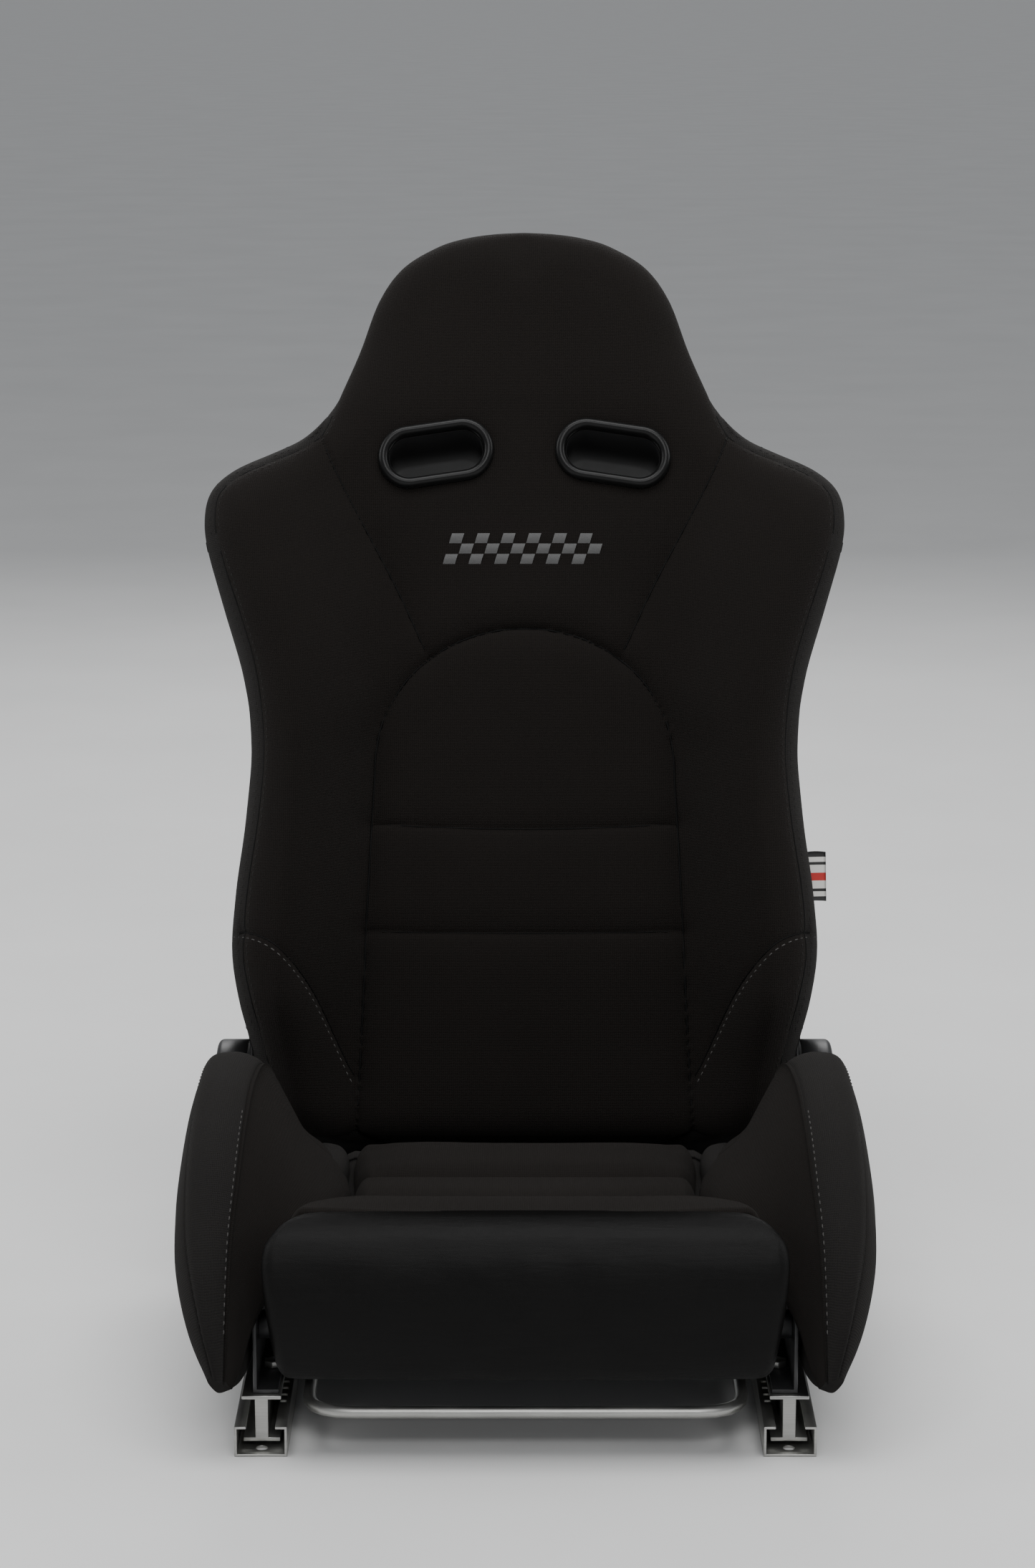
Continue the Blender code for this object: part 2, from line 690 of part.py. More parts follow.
def back_cushion(parent):
    """Front foam of the back, head included, with bolsters that stand forward."""
    rings = []
    stations = [-0.013, 0.02, 0.06, 0.10, 0.145, 0.17, 0.225, 0.30, 0.38, 0.45, 0.505, 0.532,
                0.552, 0.570, 0.588, 0.612, 0.65, 0.70, 0.73, 0.748, 0.757]
    for up in stations:
        half = back_half_width(up)
        flat = eased(CENTRE_PROUD, up)
        crest = flat + eased(BOLSTER_RISE, up)
        edge = SHELL_FRONT + GAP + (flat - SHELL_FRONT) * 0.45
        rear = SHELL_FRONT + GAP
        flat_half = half * 0.60
        if abs(up - SLOT_UP) < 0.045:
            flat_half = SLOT_X + SLOT_LENGTH / 2 + 0.017
        crest_half = max(half * 0.84, (flat_half + half) / 2)
        front = [
            (half, rear), (half, edge), ((crest_half + 2 * half) / 3, crest - (crest - edge) * 0.30),
            (crest_half, crest), ((flat_half + crest_half) / 2, flat + (crest - flat) * 0.55),
            (flat_half, flat), (0.0, flat),
        ]
        ring = [(x, -p, up) for x, p in front]
        ring += [(-x, -p, up) for x, p in front[-2::-1]]
        rings.append(ring)
    return finish_mesh("back_cushion", loft(rings), FOAM, parent)


def stadium(length, height, centre, tilt, grow=0.0, steps=8):
    """Round-ended slot outline in (x, up), grown by a margin and tilted."""
    radius = height / 2 + grow
    reach = length / 2 - height / 2
    points = []
    for end, start in ((1, -0.5), (-1, 0.5)):
        for i in range(steps + 1):
            angle = math.pi * (start + i / steps)
            x, z = end * reach + radius * math.cos(angle), radius * math.sin(angle)
            points.append((
                centre[0] + x * math.cos(tilt) - z * math.sin(tilt),
                centre[1] + x * math.sin(tilt) + z * math.cos(tilt),
            ))
    return points


def slot_ring(side, proud, grow):
    """Slot outline of one harness opening; its inner end is the higher one, and it drops towards the rear."""
    up = SLOT_UP - (INSERT_PROUD - proud) * SLOT_FALL
    outline = stadium(SLOT_LENGTH, SLOT_HEIGHT, (side * SLOT_X, up), -side * SLOT_TILT, grow)
    return [(x, -proud, up) for x, up in outline]


def cut_slots(target, parent):
    for side in (-1, 1):
        rings = [slot_ring(side, 0.10, 0.0030), slot_ring(side, -0.08, 0.0030)]
        cutter = finish_mesh("slot", loft(rings), None, parent)
        cut(target, cutter)
        bake(target, cutter)


def harness_bezel(side, parent):
    """Ring on the front of a harness opening, with the sleeve through the back."""
    face = INSERT_PROUD + GAP
    rings = [
        slot_ring(side, face + 0.0030, 0.0), slot_ring(side, face + 0.0042, 0.0028),
        slot_ring(side, face + 0.0030, 0.0075), slot_ring(side, face, 0.0085),
        slot_ring(side, face, 0.0024), slot_ring(side, -0.0385, 0.0024),
        slot_ring(side, -0.0385, 0.0),
    ]
    return finish_mesh(side_name("harness_bezel", side), loft(rings, wrap=True), PLASTIC, parent)


def rear_bezel(side, parent):
    """Ring on the rear of a harness opening."""
    face = SHELL_PROUD - GAP
    rings = [
        slot_ring(side, face - 0.0028, 0.0), slot_ring(side, face - 0.0028, 0.0070),
        slot_ring(side, face, 0.0085), slot_ring(side, face, 0.0024),
        slot_ring(side, -0.0392, 0.0024), slot_ring(side, -0.0392, 0.0),
    ]
    return finish_mesh(side_name("rear_bezel", side), loft(rings, wrap=True), PLASTIC, parent)


def back_shell(parent):
    """Dished rear shell of the back, open at the front and at the bottom."""
    low, high, across, levels, wall = 0.175, 0.757, 16, 14, 0.003
    builder = bmesh.new()
    grid = []
    for i in range(levels + 1):
        t = i / levels
        up = low + (high - low) * (1 - (1 - t) ** 1.25)
        half = back_half_width(up) - 0.004
        row = []
        for j in range(across + 1):
            u = math.sin(math.pi / 2 * (2 * j / across - 1))
            dish = max(abs(u) ** 9, t**11)
            proud = SHELL_PROUD + (SHELL_FRONT - wall - SHELL_PROUD) * dish
            row.append(builder.verts.new((half * u, -proud, up)))
        grid.append(row)
    for lower_row, upper_row in zip(grid, grid[1:]):
        for j in range(across):
            builder.faces.new((lower_row[j], lower_row[j + 1], upper_row[j + 1], upper_row[j]))
    shell = finish_mesh("back_shell", builder, FABRIC, parent)
    solidify = shell.modifiers.new("wall", "SOLIDIFY")
    solidify.thickness = wall
    solidify.offset = 1.0  # the wall grows forward, into the dish
    bake(shell)
    return shell


def hinge_arm(side, parent):
    """Moving half of the hinge, welded to the foot of the back frame."""
    half_width, top = 0.018, 0.125
    outline = arc(0.042, -200, 20, 16)
    outline += [(half_width, 0.060), (half_width, top), (-half_width, top), (-half_width, 0.060)]
    near, far = side * (ARM_X - SHEET / 2), side * (ARM_X + SHEET / 2)
    plate = prism_x(side_name("hinge_arm", side), outline, near, far, BLACK_STEEL, parent)
    for z, radius in ((0.0, SHAFT_RADIUS + 0.0006), (0.078, 0.0044), (0.108, 0.0044)):
        drill = turned("drill", [(near - side * 0.01, radius), (far + side * 0.01, radius)], None,
                       parent, (0, 0, z), 16)
        cut(plate, drill)
        bake(plate, drill)
    return plate


def moving_disc(side, parent):
    half = 0.0022
    return ring_about_x(
        side_name("recliner_disc_moving", side), side * (DISC_MOVING_X - half),
        side * (DISC_MOVING_X + half), DISC_RADIUS, SHAFT_RADIUS + 0.0006, ZINC_STEEL, parent, (0, 0, 0),
    )


def arm_bolt(name, side, up, parent):
    """Hexagon bolt through the hinge arm into the frame's foot."""
    seat = ARM_X + SHEET / 2 + GAP
    tip = ARM_X - SHEET / 2 - 0.0009
    profile = [(seat + 0.0045, 0.0068), (seat, 0.0068), (seat, 0.0040), (tip, 0.0040)]
    rings = [[(side * x, y, z) for y, z in circle(radius, 12)] for x, radius in profile]
    return finish_mesh(side_name(name, side), loft(rings), ZINC_STEEL, parent, (0, 0, up))


def back_frame(parent):
    """One bent tube: two legs at the hinges, in at the shoulders, round behind the head."""
    leg_x = ARM_X - SHEET / 2 - GAP - 0.0016 - 0.010
    left = [
        (leg_x, 0, 0.018), (leg_x, 0, 0.128), (0.203, 0, 0.205), (0.203, 0, 0.455),
        (0.158, 0, 0.565), (0.108, 0, 0.655), (0.070, 0, 0.697),
    ]
    right = [(-x, y, z) for x, y, z in reversed(left)]
    return pipe("back_frame", rounded_path(left + right, 0.022, 2), 0.010, 0.0085, BLACK_STEEL, parent, 8)


def cross_bar(name, reach, up, radius, parent):
    return pipe(name, [(-reach, 0, up), (reach, 0, up)], radius, radius - 0.0015, BLACK_STEEL, parent, 12)


def back_strap(index, up, parent):
    """Elastic strap between the frame's legs, behind the foam."""
    reach, half_height = 0.1922, 0.018
    rings = []
    for x, bow in ((-reach, 0.0), (-reach / 2, 0.004), (0.0, 0.006), (reach / 2, 0.004), (reach, 0.0)):
        rings.append([
            (x, bow - 0.0012, up - half_height), (x, bow + 0.0012, up - half_height),
            (x, bow + 0.0012, up + half_height), (x, bow - 0.0012, up + half_height),
        ])
    return finish_mesh("back_strap_%d" % index, loft(rings), WEBBING, parent)


def side_tag(parent):
    """Folded cloth tag sewn into the outer seam."""
    rings = [
        [(0.2450, -0.030, 0.1795), (0.2450, -0.030, 0.2205), (0.2450, -0.0286, 0.2205),
         (0.2450, -0.0286, 0.1795)],
        [(0.2580, -0.031, 0.1795), (0.2580, -0.031, 0.2205), (0.2580, -0.0296, 0.2205),
         (0.2580, -0.0296, 0.1795)],
    ]
    return finish_mesh("side_tag", loft(rings), TAG_CLOTH, parent)


# ---------------------------------------------------------------- assembly
def build():
    clear_scene()
    seat = empty("seat", (0, -FRAME_CENTRE_Y, 0))
    recline_axis = empty("recline_axis", (0, RECLINE_Y, RECLINE_Z), seat, math.radians(-RECLINE_ANGLE))
    lever_axis = empty("lever_axis", (0, RECLINE_Y, RECLINE_Z), seat)
    bar_axis = empty("bar_axis", (0, BAR_PIVOT_Y, BAR_PIVOT_Z), seat)

    for side in (-1, 1):
        lower_rail(side, seat)
        upper_rail(side, seat)
        ball_cage(side, seat)
        side_plate(side, seat)
        recliner_bracket(side, seat)
        seat_bolster(side, seat)
        fixed_disc(side, seat)
        return_spring(side, seat)
        recliner_cover(side, seat)
        bar_pivot(side, seat)
        rail_bolt("rail_bolt_front", side, -0.150, seat)
        rail_bolt("rail_bolt_rear", side, 0.165, seat)
        slide_latch(side, bar_axis)
        hinge_arm(side, recline_axis)
        moving_disc(side, recline_axis)
        arm_bolt("arm_bolt_low", side, 0.078, recline_axis)
        arm_bolt("arm_bolt_high", side, 0.108, recline_axis)
        harness_bezel(side, recline_axis)
        rear_bezel(side, recline_axis)

    cross_tube("front_cross_tube", -0.170, 0.088, seat)
    cross_tube("rear_cross_tube", 0.100, 0.084, seat)
    for index, x in enumerate((-0.105, -0.035, 0.035, 0.105), 1):
        seat_spring(index, x, seat)
    cushion_foam(seat)
    front_roll(seat)
    recliner_shaft(lever_axis)
    recline_lever(lever_axis)
    lever_grip(lever_axis)
    slide_bar(bar_axis)

    cut_slots(back_cushion(recline_axis), recline_axis)
    cut_slots(back_shell(recline_axis), recline_axis)
    back_frame(recline_axis)
    cross_bar("lower_cross_bar", 0.2068, 0.055, 0.009, recline_axis)
    cross_bar("upper_cross_bar", 0.1695, 0.500, 0.008, recline_axis)
    for index, up in enumerate((0.230, 0.310, 0.390), 1):
        back_strap(index, up, recline_axis)
    side_tag(recline_axis)


build()
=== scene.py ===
"""Looks of the reclining racing seat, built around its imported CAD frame, for Blender 4.5.

Metres, +Z up, the seat faces -Y and +X is the occupant's left.  Soft pieces are skins: grids of points with
sewing coordinates.  A skin is shaped by formula, puffed by Blender's cloth, made twice as fine, pressed in
along its seams, and then cut into its sewn panels.

Places on the back are (x, up, proud): up runs from the hinge along the back, and proud forward from it.
Places on the seat are (x, y, z), with y from the middle of the slider rails.
"""

import json
from math import cos, exp, pi, radians, sin, tan

import bmesh
import bpy
import numpy as np
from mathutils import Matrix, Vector


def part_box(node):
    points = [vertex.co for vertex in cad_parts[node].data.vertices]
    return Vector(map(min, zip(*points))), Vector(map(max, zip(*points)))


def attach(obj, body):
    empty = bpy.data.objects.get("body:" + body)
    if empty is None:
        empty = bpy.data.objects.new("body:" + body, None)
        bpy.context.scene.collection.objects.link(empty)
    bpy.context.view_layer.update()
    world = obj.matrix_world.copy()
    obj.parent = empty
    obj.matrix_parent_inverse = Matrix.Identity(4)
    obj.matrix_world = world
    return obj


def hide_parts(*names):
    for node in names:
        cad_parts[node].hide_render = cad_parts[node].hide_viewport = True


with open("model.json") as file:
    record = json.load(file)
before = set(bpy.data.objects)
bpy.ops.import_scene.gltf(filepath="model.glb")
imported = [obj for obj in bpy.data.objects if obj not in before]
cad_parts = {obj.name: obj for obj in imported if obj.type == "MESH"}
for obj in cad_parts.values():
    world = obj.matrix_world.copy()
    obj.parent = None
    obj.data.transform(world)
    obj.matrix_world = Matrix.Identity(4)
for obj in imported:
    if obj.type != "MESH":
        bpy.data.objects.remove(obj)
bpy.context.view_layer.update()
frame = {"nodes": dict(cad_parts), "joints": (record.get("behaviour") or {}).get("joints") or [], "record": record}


def mm(*rows):
    """A table written in millimetres."""
    return np.array(rows) / 1000


# ---------------------------------------------------------------- places taken from the frame
HINGE = np.array(next(j["pos_m"] for j in frame["joints"] if j["name"] == "recline"), float)
LEAN = radians(18.0)
UP_BACK = np.array([0.0, sin(LEAN), cos(LEAN)])
PROUD = np.array([0.0, -cos(LEAN), sin(LEAN)])
RAIL_LOW, RAIL_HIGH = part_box("lower_rail_left")
RAIL_MID_Y = (RAIL_LOW.y + RAIL_HIGH.y) / 2
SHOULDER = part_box("back_cushion")[1].x
SIDES = ((1, "left"), (-1, "right"))
MIRROR_X = np.array([-1.0, 1.0, 1.0])

# ---------------------------------------------------------------- driving dimensions of the back
CROWN_UP = 0.7635            # top of the head
CROWN_ROLL = 0.060           # height over which the rows close up towards it
HEM_UP = -0.022              # lower edge of the back
HEM_ROLL = 0.028
REAR_PROUD = -0.045
CENTRE_PROUD = 0.055
REAR_ROLL = 0.034            # radius of the rear edge
EDGE_SEAM_IN = 0.010         # outer seam, in from the silhouette
REAR_SEAM = 0.030            # rear seam, in from the silhouette

SLOT_X, SLOT_UP = 0.076, 0.563                # harness openings
SLOT_LENGTH, SLOT_HEIGHT = 0.082, 0.036
SLOT_TILT = radians(8.5)
SLOT_FALL = 0.20             # drop of the sleeves towards the rear, per unit of depth
REAR_DROP = (CENTRE_PROUD - REAR_PROUD) * SLOT_FALL

OUTLINE = mm(                # (up, half width of the back)
    (-30, 212), (-10, 219), (43, 227.5), (91, 240), (135, 246.8), (190, 242.5), (250, 234.5),
    (310, 230.8), (370, 237.8), (430, 256), (475, 270), (505, SHOULDER * 1000 - 0.8), (530, 269),
    (549, 250), (566, 217), (583, 189), (610, 166.2), (657, 144.2), (704.5, 127.2), (734, 106.4),
    (751.8, 76.5), (759.2, 52), (762.5, 27), (CROWN_UP * 1000, 0),
)
BOLSTER_RISE = mm(           # (up, how far the back's bolsters stand in front of its centre)
    (-30, 6), (30, 30), (100, 54), (200, 57), (400, 56), (480, 49), (540, 34), (590, 16), (650, 4),
    (757, 0),
)
CREST_LINE = mm(             # (up, x of their crests)
    (-30, 190), (100, 208), (310, 200), (430, 220), (500, 234), (560, 236), (620, 225), (757, 200),
)
SLOPE_START = mm(            # (up, x where they start to rise)
    (-30, 144), (150, 138), (300, 130), (360, 114), (420, 108), (500, 126), (560, 140), (620, 120),
    (757, 100),
)
FRONT_ROLL = mm((-30, 46), (500, 46), (640, 38), (757, 36))   # radius of the front edge

INSERT_TOP = 0.412           # the arched insert closes in a round top
INSERT_SPRING = 0.285        # where the arch starts
INSERT_EDGE = mm((-18, 142.5), (92, 137), (164, 134), (285, 127.5))   # (up, half width)
UPPER_CROSS, LOWER_CROSS = 0.244, 0.152       # cross seams of the insert
V_SEAM = mm((179, 588), (160, 545), (137, 500), (110, 447), (83, 388))
PATCH_SEAM = mm((262, 150), (237, 148), (215, 141), (195, 126), (176, 100), (158, 62), (142, 26))
HEAD_CORNER, HEAD_LOW = V_SEAM[0, 1], V_SEAM[-1, 1]
PATCH_INNER = PATCH_SEAM[-1, 0]
SEAM_CUTS = {                # kind of seam: depth, width, radius of its thread
    "insert": (0.0058, 0.0027, 0.0010),
    "upper": (0.0028, 0.0028, 0.0005),
    "lower": (0.0028, 0.0028, 0.0005),
    "v": (0.0020, 0.0026, 0.0008),
    "patch": (0.0020, 0.0026, 0.0007),
}
EDGE_CUT, REAR_CUT = (0.0020, 0.0024), (0.0026, 0.0030)       # depth and width of the edge and rear seams
SEAM_PIN, EDGE_PIN = 0.0034, 0.0032           # cloth this near to a seam is held while it puffs
SLOT_PIN = 0.018             # and this near to a harness opening
SLOT_CUT = 0.0042            # the cloth ends this far outside an opening
BACK_SWELL, INSERT_SWELL = 0.0035, 0.009      # how far the cloth may swell
EDGE_STITCHES = {"outer": -0.0040, "inner": 0.0042}           # rows of top stitching: distance from the seam
REAR_STITCHES = 0.0042


# ---------------------------------------------------------------- curves and grids
def ease(t):
    t = np.clip(t, 0.0, 1.0)
    return t * t * (3 - 2 * t)


def smooth_value(points, at):
    """Smooth, never overshooting value through a few (position, value) points."""
    xs, ys = points.T
    rise = np.diff(ys) / np.diff(xs)
    product, total = rise[:-1] * rise[1:], rise[:-1] + rise[1:]
    total = np.where(np.abs(total) < 1e-12, 1.0, total)
    slope = np.concatenate([rise[:1], np.where(product > 0, 2 * product / total, 0.0), rise[-1:]])
    at = np.asarray(at, float)
    i = np.clip(np.searchsorted(xs, at) - 1, 0, len(xs) - 2)
    span = xs[i + 1] - xs[i]
    t = np.clip((at - xs[i]) / span, 0.0, 1.0)
    return (
        (2 * t**3 - 3 * t**2 + 1) * ys[i] + (t**3 - 2 * t**2 + t) * span * slope[i]
        + (3 * t**2 - 2 * t**3) * ys[i + 1] + (t**3 - t**2) * span * slope[i + 1]
    )


def with_ends(points, closed):
    """A run with points added at both ends: mirrored ones, or those from the other end of a closed run."""
    if closed:
        return np.concatenate([points[-1:], points, points[:2]])
    return np.concatenate([2 * points[:1] - points[1:2], points, 2 * points[-1:] - points[-2:-1]])


def curve_through(points, count, closed=False):
    """Evenly numbered points on a Catmull-Rom curve through the given points."""
    padded = with_ends(points, closed)
    spans = len(padded) - 3
    where = np.linspace(0.0, spans, count, endpoint=not closed)
    i = np.minimum(where.astype(int), spans - 1)
    t = (where - i)[:, None]
    p0, p1, p2, p3 = (padded[i + k] for k in range(4))
    return 0.5 * (
        2 * p1 + (p2 - p0) * t + (2 * p0 - 5 * p1 + 4 * p2 - p3) * t**2
        + (3 * p1 - p0 - 3 * p2 + p3) * t**3
    )


def finer(grid, axis, closed=False):
    """Twice as many points along one axis of a grid, on a smooth curve through the old ones."""
    grid = np.moveaxis(grid, axis, 0)
    padded = with_ends(grid, closed)
    middle = (9 * (padded[1:-2] + padded[2:-1]) - padded[:-3] - padded[3:]) / 16
    fine = np.empty((len(grid) + len(middle),) + grid.shape[1:])
    fine[0::2], fine[1::2] = grid, middle
    return np.moveaxis(fine, 0, axis)


def finer_both(*grids):
    """Each grid with twice as many points both ways."""
    return [finer(finer(grid, 0), 1) for grid in grids]


def stacked(*values):
    """Values, spread over each other's shape, as the last axis of one array."""
    return np.stack(np.broadcast_arrays(*values), axis=-1)


def unit(vectors):
    return vectors / np.maximum(np.linalg.norm(vectors, axis=-1, keepdims=True), 1e-12)


def inward_of(tangents):
    """Turn the tangents of an anticlockwise outline towards its inside."""
    return stacked(-tangents[:, 1], tangents[:, 0])


def groove(away, deep, width, soft=0.0, reach=1.0):
    """Depth at a distance from a seam: a sharp line with a soft hollow round it."""
    return deep * np.exp(-away / width) + soft * np.exp(-((away / reach) ** 2))


def grid_normals(grid, closed=False):
    """Unit normals of a grid of points; rows run first, columns second."""
    down = np.gradient(grid, axis=0)
    across = np.roll(grid, -1, 1) - np.roll(grid, 1, 1) if closed else np.gradient(grid, axis=1)
    return unit(np.cross(across, down))


def pressed_in(grid, depth, closed=False):
    """The grid sunk along its normals by a depth at each point."""
    return grid - grid_normals(grid, closed) * depth[:, :, None]


def evened(points, passes):
    """Points along the first axis, averaged with their neighbours; the ends stay."""
    points = points.copy()
    for _ in range(passes):
        points[1:-1] = (points[:-2] + 2 * points[1:-1] + points[2:]) / 4
    return points


def seam_distance(points, line):
    """Distance from each point of an (..., 2) array to a polyline in the same sewing coordinates."""
    flat = points.reshape(-1, 2)
    best = np.full(len(flat), 1e9)
    for a, b in zip(line[:-1], line[1:]):
        along = b - a
        length = max(float(along @ along), 1e-12)
        t = np.clip(((flat - a) @ along) / length, 0.0, 1.0)
        best = np.minimum(best, np.hypot(*(flat - a - t[:, None] * along).T))
    return best.reshape(points.shape[:-1])


# ---------------------------------------------------------------- meshes
def new_object(name, verts, faces, material=None, uvs=None):
    mesh = bpy.data.meshes.new(name)
    mesh.from_pydata([tuple(v) for v in verts], [], faces)
    mesh.update()
    mesh.polygons.foreach_set("use_smooth", [True] * len(mesh.polygons))
    if uvs is not None:
        layer = mesh.uv_layers.new(name="sewing")
        loops = np.empty(len(mesh.loops), int)
        mesh.loops.foreach_get("vertex_index", loops)
        layer.data.foreach_set("uv", np.asarray(uvs, float)[loops].ravel())
    obj = bpy.data.objects.new(name, mesh)
    bpy.context.scene.collection.objects.link(obj)
    if material is not None:
        mesh.materials.append(material)
    return obj


def dress(piece, body, stands_for=None):
    """Give a piece its body, and hide the CAD node whose place it takes."""
    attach(piece, body)
    if stands_for:
        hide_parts(stands_for)


def grid_faces(rows, cols, closed=False, keep=None):
    """Quads of a grid, wound so that normals match grid_normals."""
    faces = []
    for r in range(rows - 1):
        for c in range(cols if closed else cols - 1):
            if keep is None or keep[r, c]:
                d = (c + 1) % cols
                faces.append((r * cols + c, r * cols + d, (r + 1) * cols + d, (r + 1) * cols + c))
    return faces


def skin_piece(name, grid, uv, material, body, stands_for=None, closed=False, keep=None):
    """A dressed mesh from part of a grid, holding only the points it uses."""
    faces = np.array(grid_faces(*grid.shape[:2], closed, keep))
    used, inverse = np.unique(faces, return_inverse=True)
    faces = inverse.reshape(-1, 4).tolist()
    piece = new_object(name, grid.reshape(-1, 3)[used], faces, material, uv.reshape(-1, 2)[used])
    dress(piece, body, stands_for)


def gathered(ring, coords, middle, shares):
    """Rows that draw a ring of points in to a middle, with sewing coordinates that move on a little."""
    rows = [middle + (ring - middle) * share for share in shares]
    return rows, [coords + (1 - share) * 0.02 for share in shares]


def closing_piece(name, grid, uv, end, middle, shares, body, closed=False):
    """Cloth that closes the first (0) or last (-1) row of a skin, gathered to a middle."""
    rows, coords = gathered(grid[end], uv[end], middle, shares)
    order = 1 if end else -1
    skin_piece(name, np.array(rows[::order]), np.array(coords[::order]), FABRIC_SIDE, body, closed=closed)


def solid_of_loops(name, loops, material, closed=True):
    """Solid through a run of loops that comes back to its first loop, or else is shut by a last face."""
    grid = np.array(loops)
    if closed:
        grid = np.concatenate([grid, grid[:1]])
    rows, cols = grid.shape[:2]
    faces = grid_faces(rows, cols, closed=True)
    if not closed:
        faces.append(tuple(range((rows - 1) * cols, rows * cols)))
    obj = new_object(name, grid.reshape(-1, 3), faces, material)
    tool = bmesh.new()
    tool.from_mesh(obj.data)
    bmesh.ops.remove_doubles(tool, verts=tool.verts, dist=1e-6)
    bmesh.ops.recalc_face_normals(tool, faces=tool.faces)
    tool.to_mesh(obj.data)
    tool.free()
    return obj


def close_ends(grid, uv, bulge=0.001):
    """Add slightly domed rows that gather each end of a closed skin to its middle."""
    ends = []
    for ring, ring_uv, inside in ((grid[0], uv[0], grid[2]), (grid[-1], uv[-1], grid[-3])):
        outward = ring.mean(axis=0) - inside.mean(axis=0)
        outward /= np.linalg.norm(outward)
        rows, coords = gathered(ring, ring_uv, ring.mean(axis=0), (0.93, 0.70, 0.35, 0.0))
        rows = [row + outward * bulge * lift for row, lift in zip(rows, (0.6, 0.9, 1.0, 1.0))]
        ends.append((rows, coords))
    (head, head_uv), (tail, tail_uv) = ends
    return np.array(head[::-1] + list(grid) + tail), np.array(head_uv[::-1] + list(uv) + tail_uv)


CLOTH = {
    "quality": 5, "mass": 0.25, "tension_stiffness": 30, "compression_stiffness": 30,
    "shear_stiffness": 15, "bending_stiffness": 1.5,
}


def puff(name, grid, pinned, pressure, cap, closed=False, frames=20):
    """Let cloth under pressure swell a skin between its pinned seams; no point moves further than cap."""
    obj = new_object(name, grid.reshape(-1, 3), grid_faces(*grid.shape[:2], closed))
    group = obj.vertex_groups.new(name="pinned")
    group.add([int(i) for i in np.flatnonzero(pinned.ravel())], 1.0, "REPLACE")
    cloth = obj.modifiers.new("cloth", "CLOTH")
    settings = cloth.settings
    for key, value in CLOTH.items():
        setattr(settings, key, value)
    settings.use_pressure = True
    settings.uniform_pressure_force = pressure
    settings.vertex_group_mass = "pinned"
    settings.effector_weights.gravity = 0.0
    cloth.collision_settings.use_collision = False
    cloth.point_cache.frame_start = 1
    cloth.point_cache.frame_end = frames
    scene = bpy.context.scene
    scene.frame_start, scene.frame_end = 1, frames
    for step in range(1, frames + 1):
        scene.frame_set(step)
    evaluated = obj.evaluated_get(bpy.context.evaluated_depsgraph_get())
    moved = np.empty(grid.size)
    evaluated.data.vertices.foreach_get("co", moved)
    bpy.data.objects.remove(obj, do_unlink=True)
    scene.frame_set(1)
    shift = moved.reshape(grid.shape) - grid
    for _ in range(3):
        shift = evened(shift, 1)
        shift = np.moveaxis(evened(np.moveaxis(shift, 1, 0), 1), 0, 1)
    length = np.maximum(np.linalg.norm(shift, axis=2, keepdims=True), 1e-9)
    cap = np.broadcast_to(cap, grid.shape[:2])[:, :, None]
    return grid + evened(shift * cap * np.tanh(length / cap) / length, 4)


# ---------------------------------------------------------------- the back as a skin
def insert_half(up):
    """Half width of the arched insert at a height."""
    up = np.asarray(up, float)
    t = np.clip((up - INSERT_SPRING) / (INSERT_TOP - INSERT_SPRING), 0.0, 1.0)
    arch = INSERT_EDGE[-1][1] * np.sqrt(1 - t**2.3)
    return np.where(up > INSERT_SPRING, arch, smooth_value(INSERT_EDGE, up))


def outline_curve(count=120):
    """The silhouette of one half as (x, up), from below the hem to the middle of the crown."""
    side = curve_through(OUTLINE, count)[:, ::-1]
    return np.concatenate([[(side[0, 0], side[0, 1] - 0.10)], side])


SILHOUETTE = outline_curve()


def front_proud(x, up):
    """How far the front of the back stands proud before its edge is rolled over."""
    rise, crest, start = (float(smooth_value(line, up)) for line in (BOLSTER_RISE, CREST_LINE, SLOPE_START))
    lumbar = 0.005 * exp(-(((up - 0.16) / 0.10) ** 2))
    hollow = 0.003 * np.clip(x / start, 0, 1) ** 2
    head = 0.006 * float(ease((up - 0.60) / 0.12)) * np.clip(x / 0.14, 0, 1) ** 2
    return CENTRE_PROUD + lumbar - hollow - head + (rise + 0.003) * ease((x - start) / (crest - start))


def edge_drop(away, radius):
    """Quarter-round fall from a face at a distance from the silhouette."""
    return radius * (1 - np.sqrt(np.clip(1 - np.clip(1 - away / radius, 0, 1) ** 2, 0, 1)))


HALF_COLUMNS = 96
AROUND, UP, X, IN_FRONT, IN_REAR = range(5)      # channels of the back's sewing coordinates


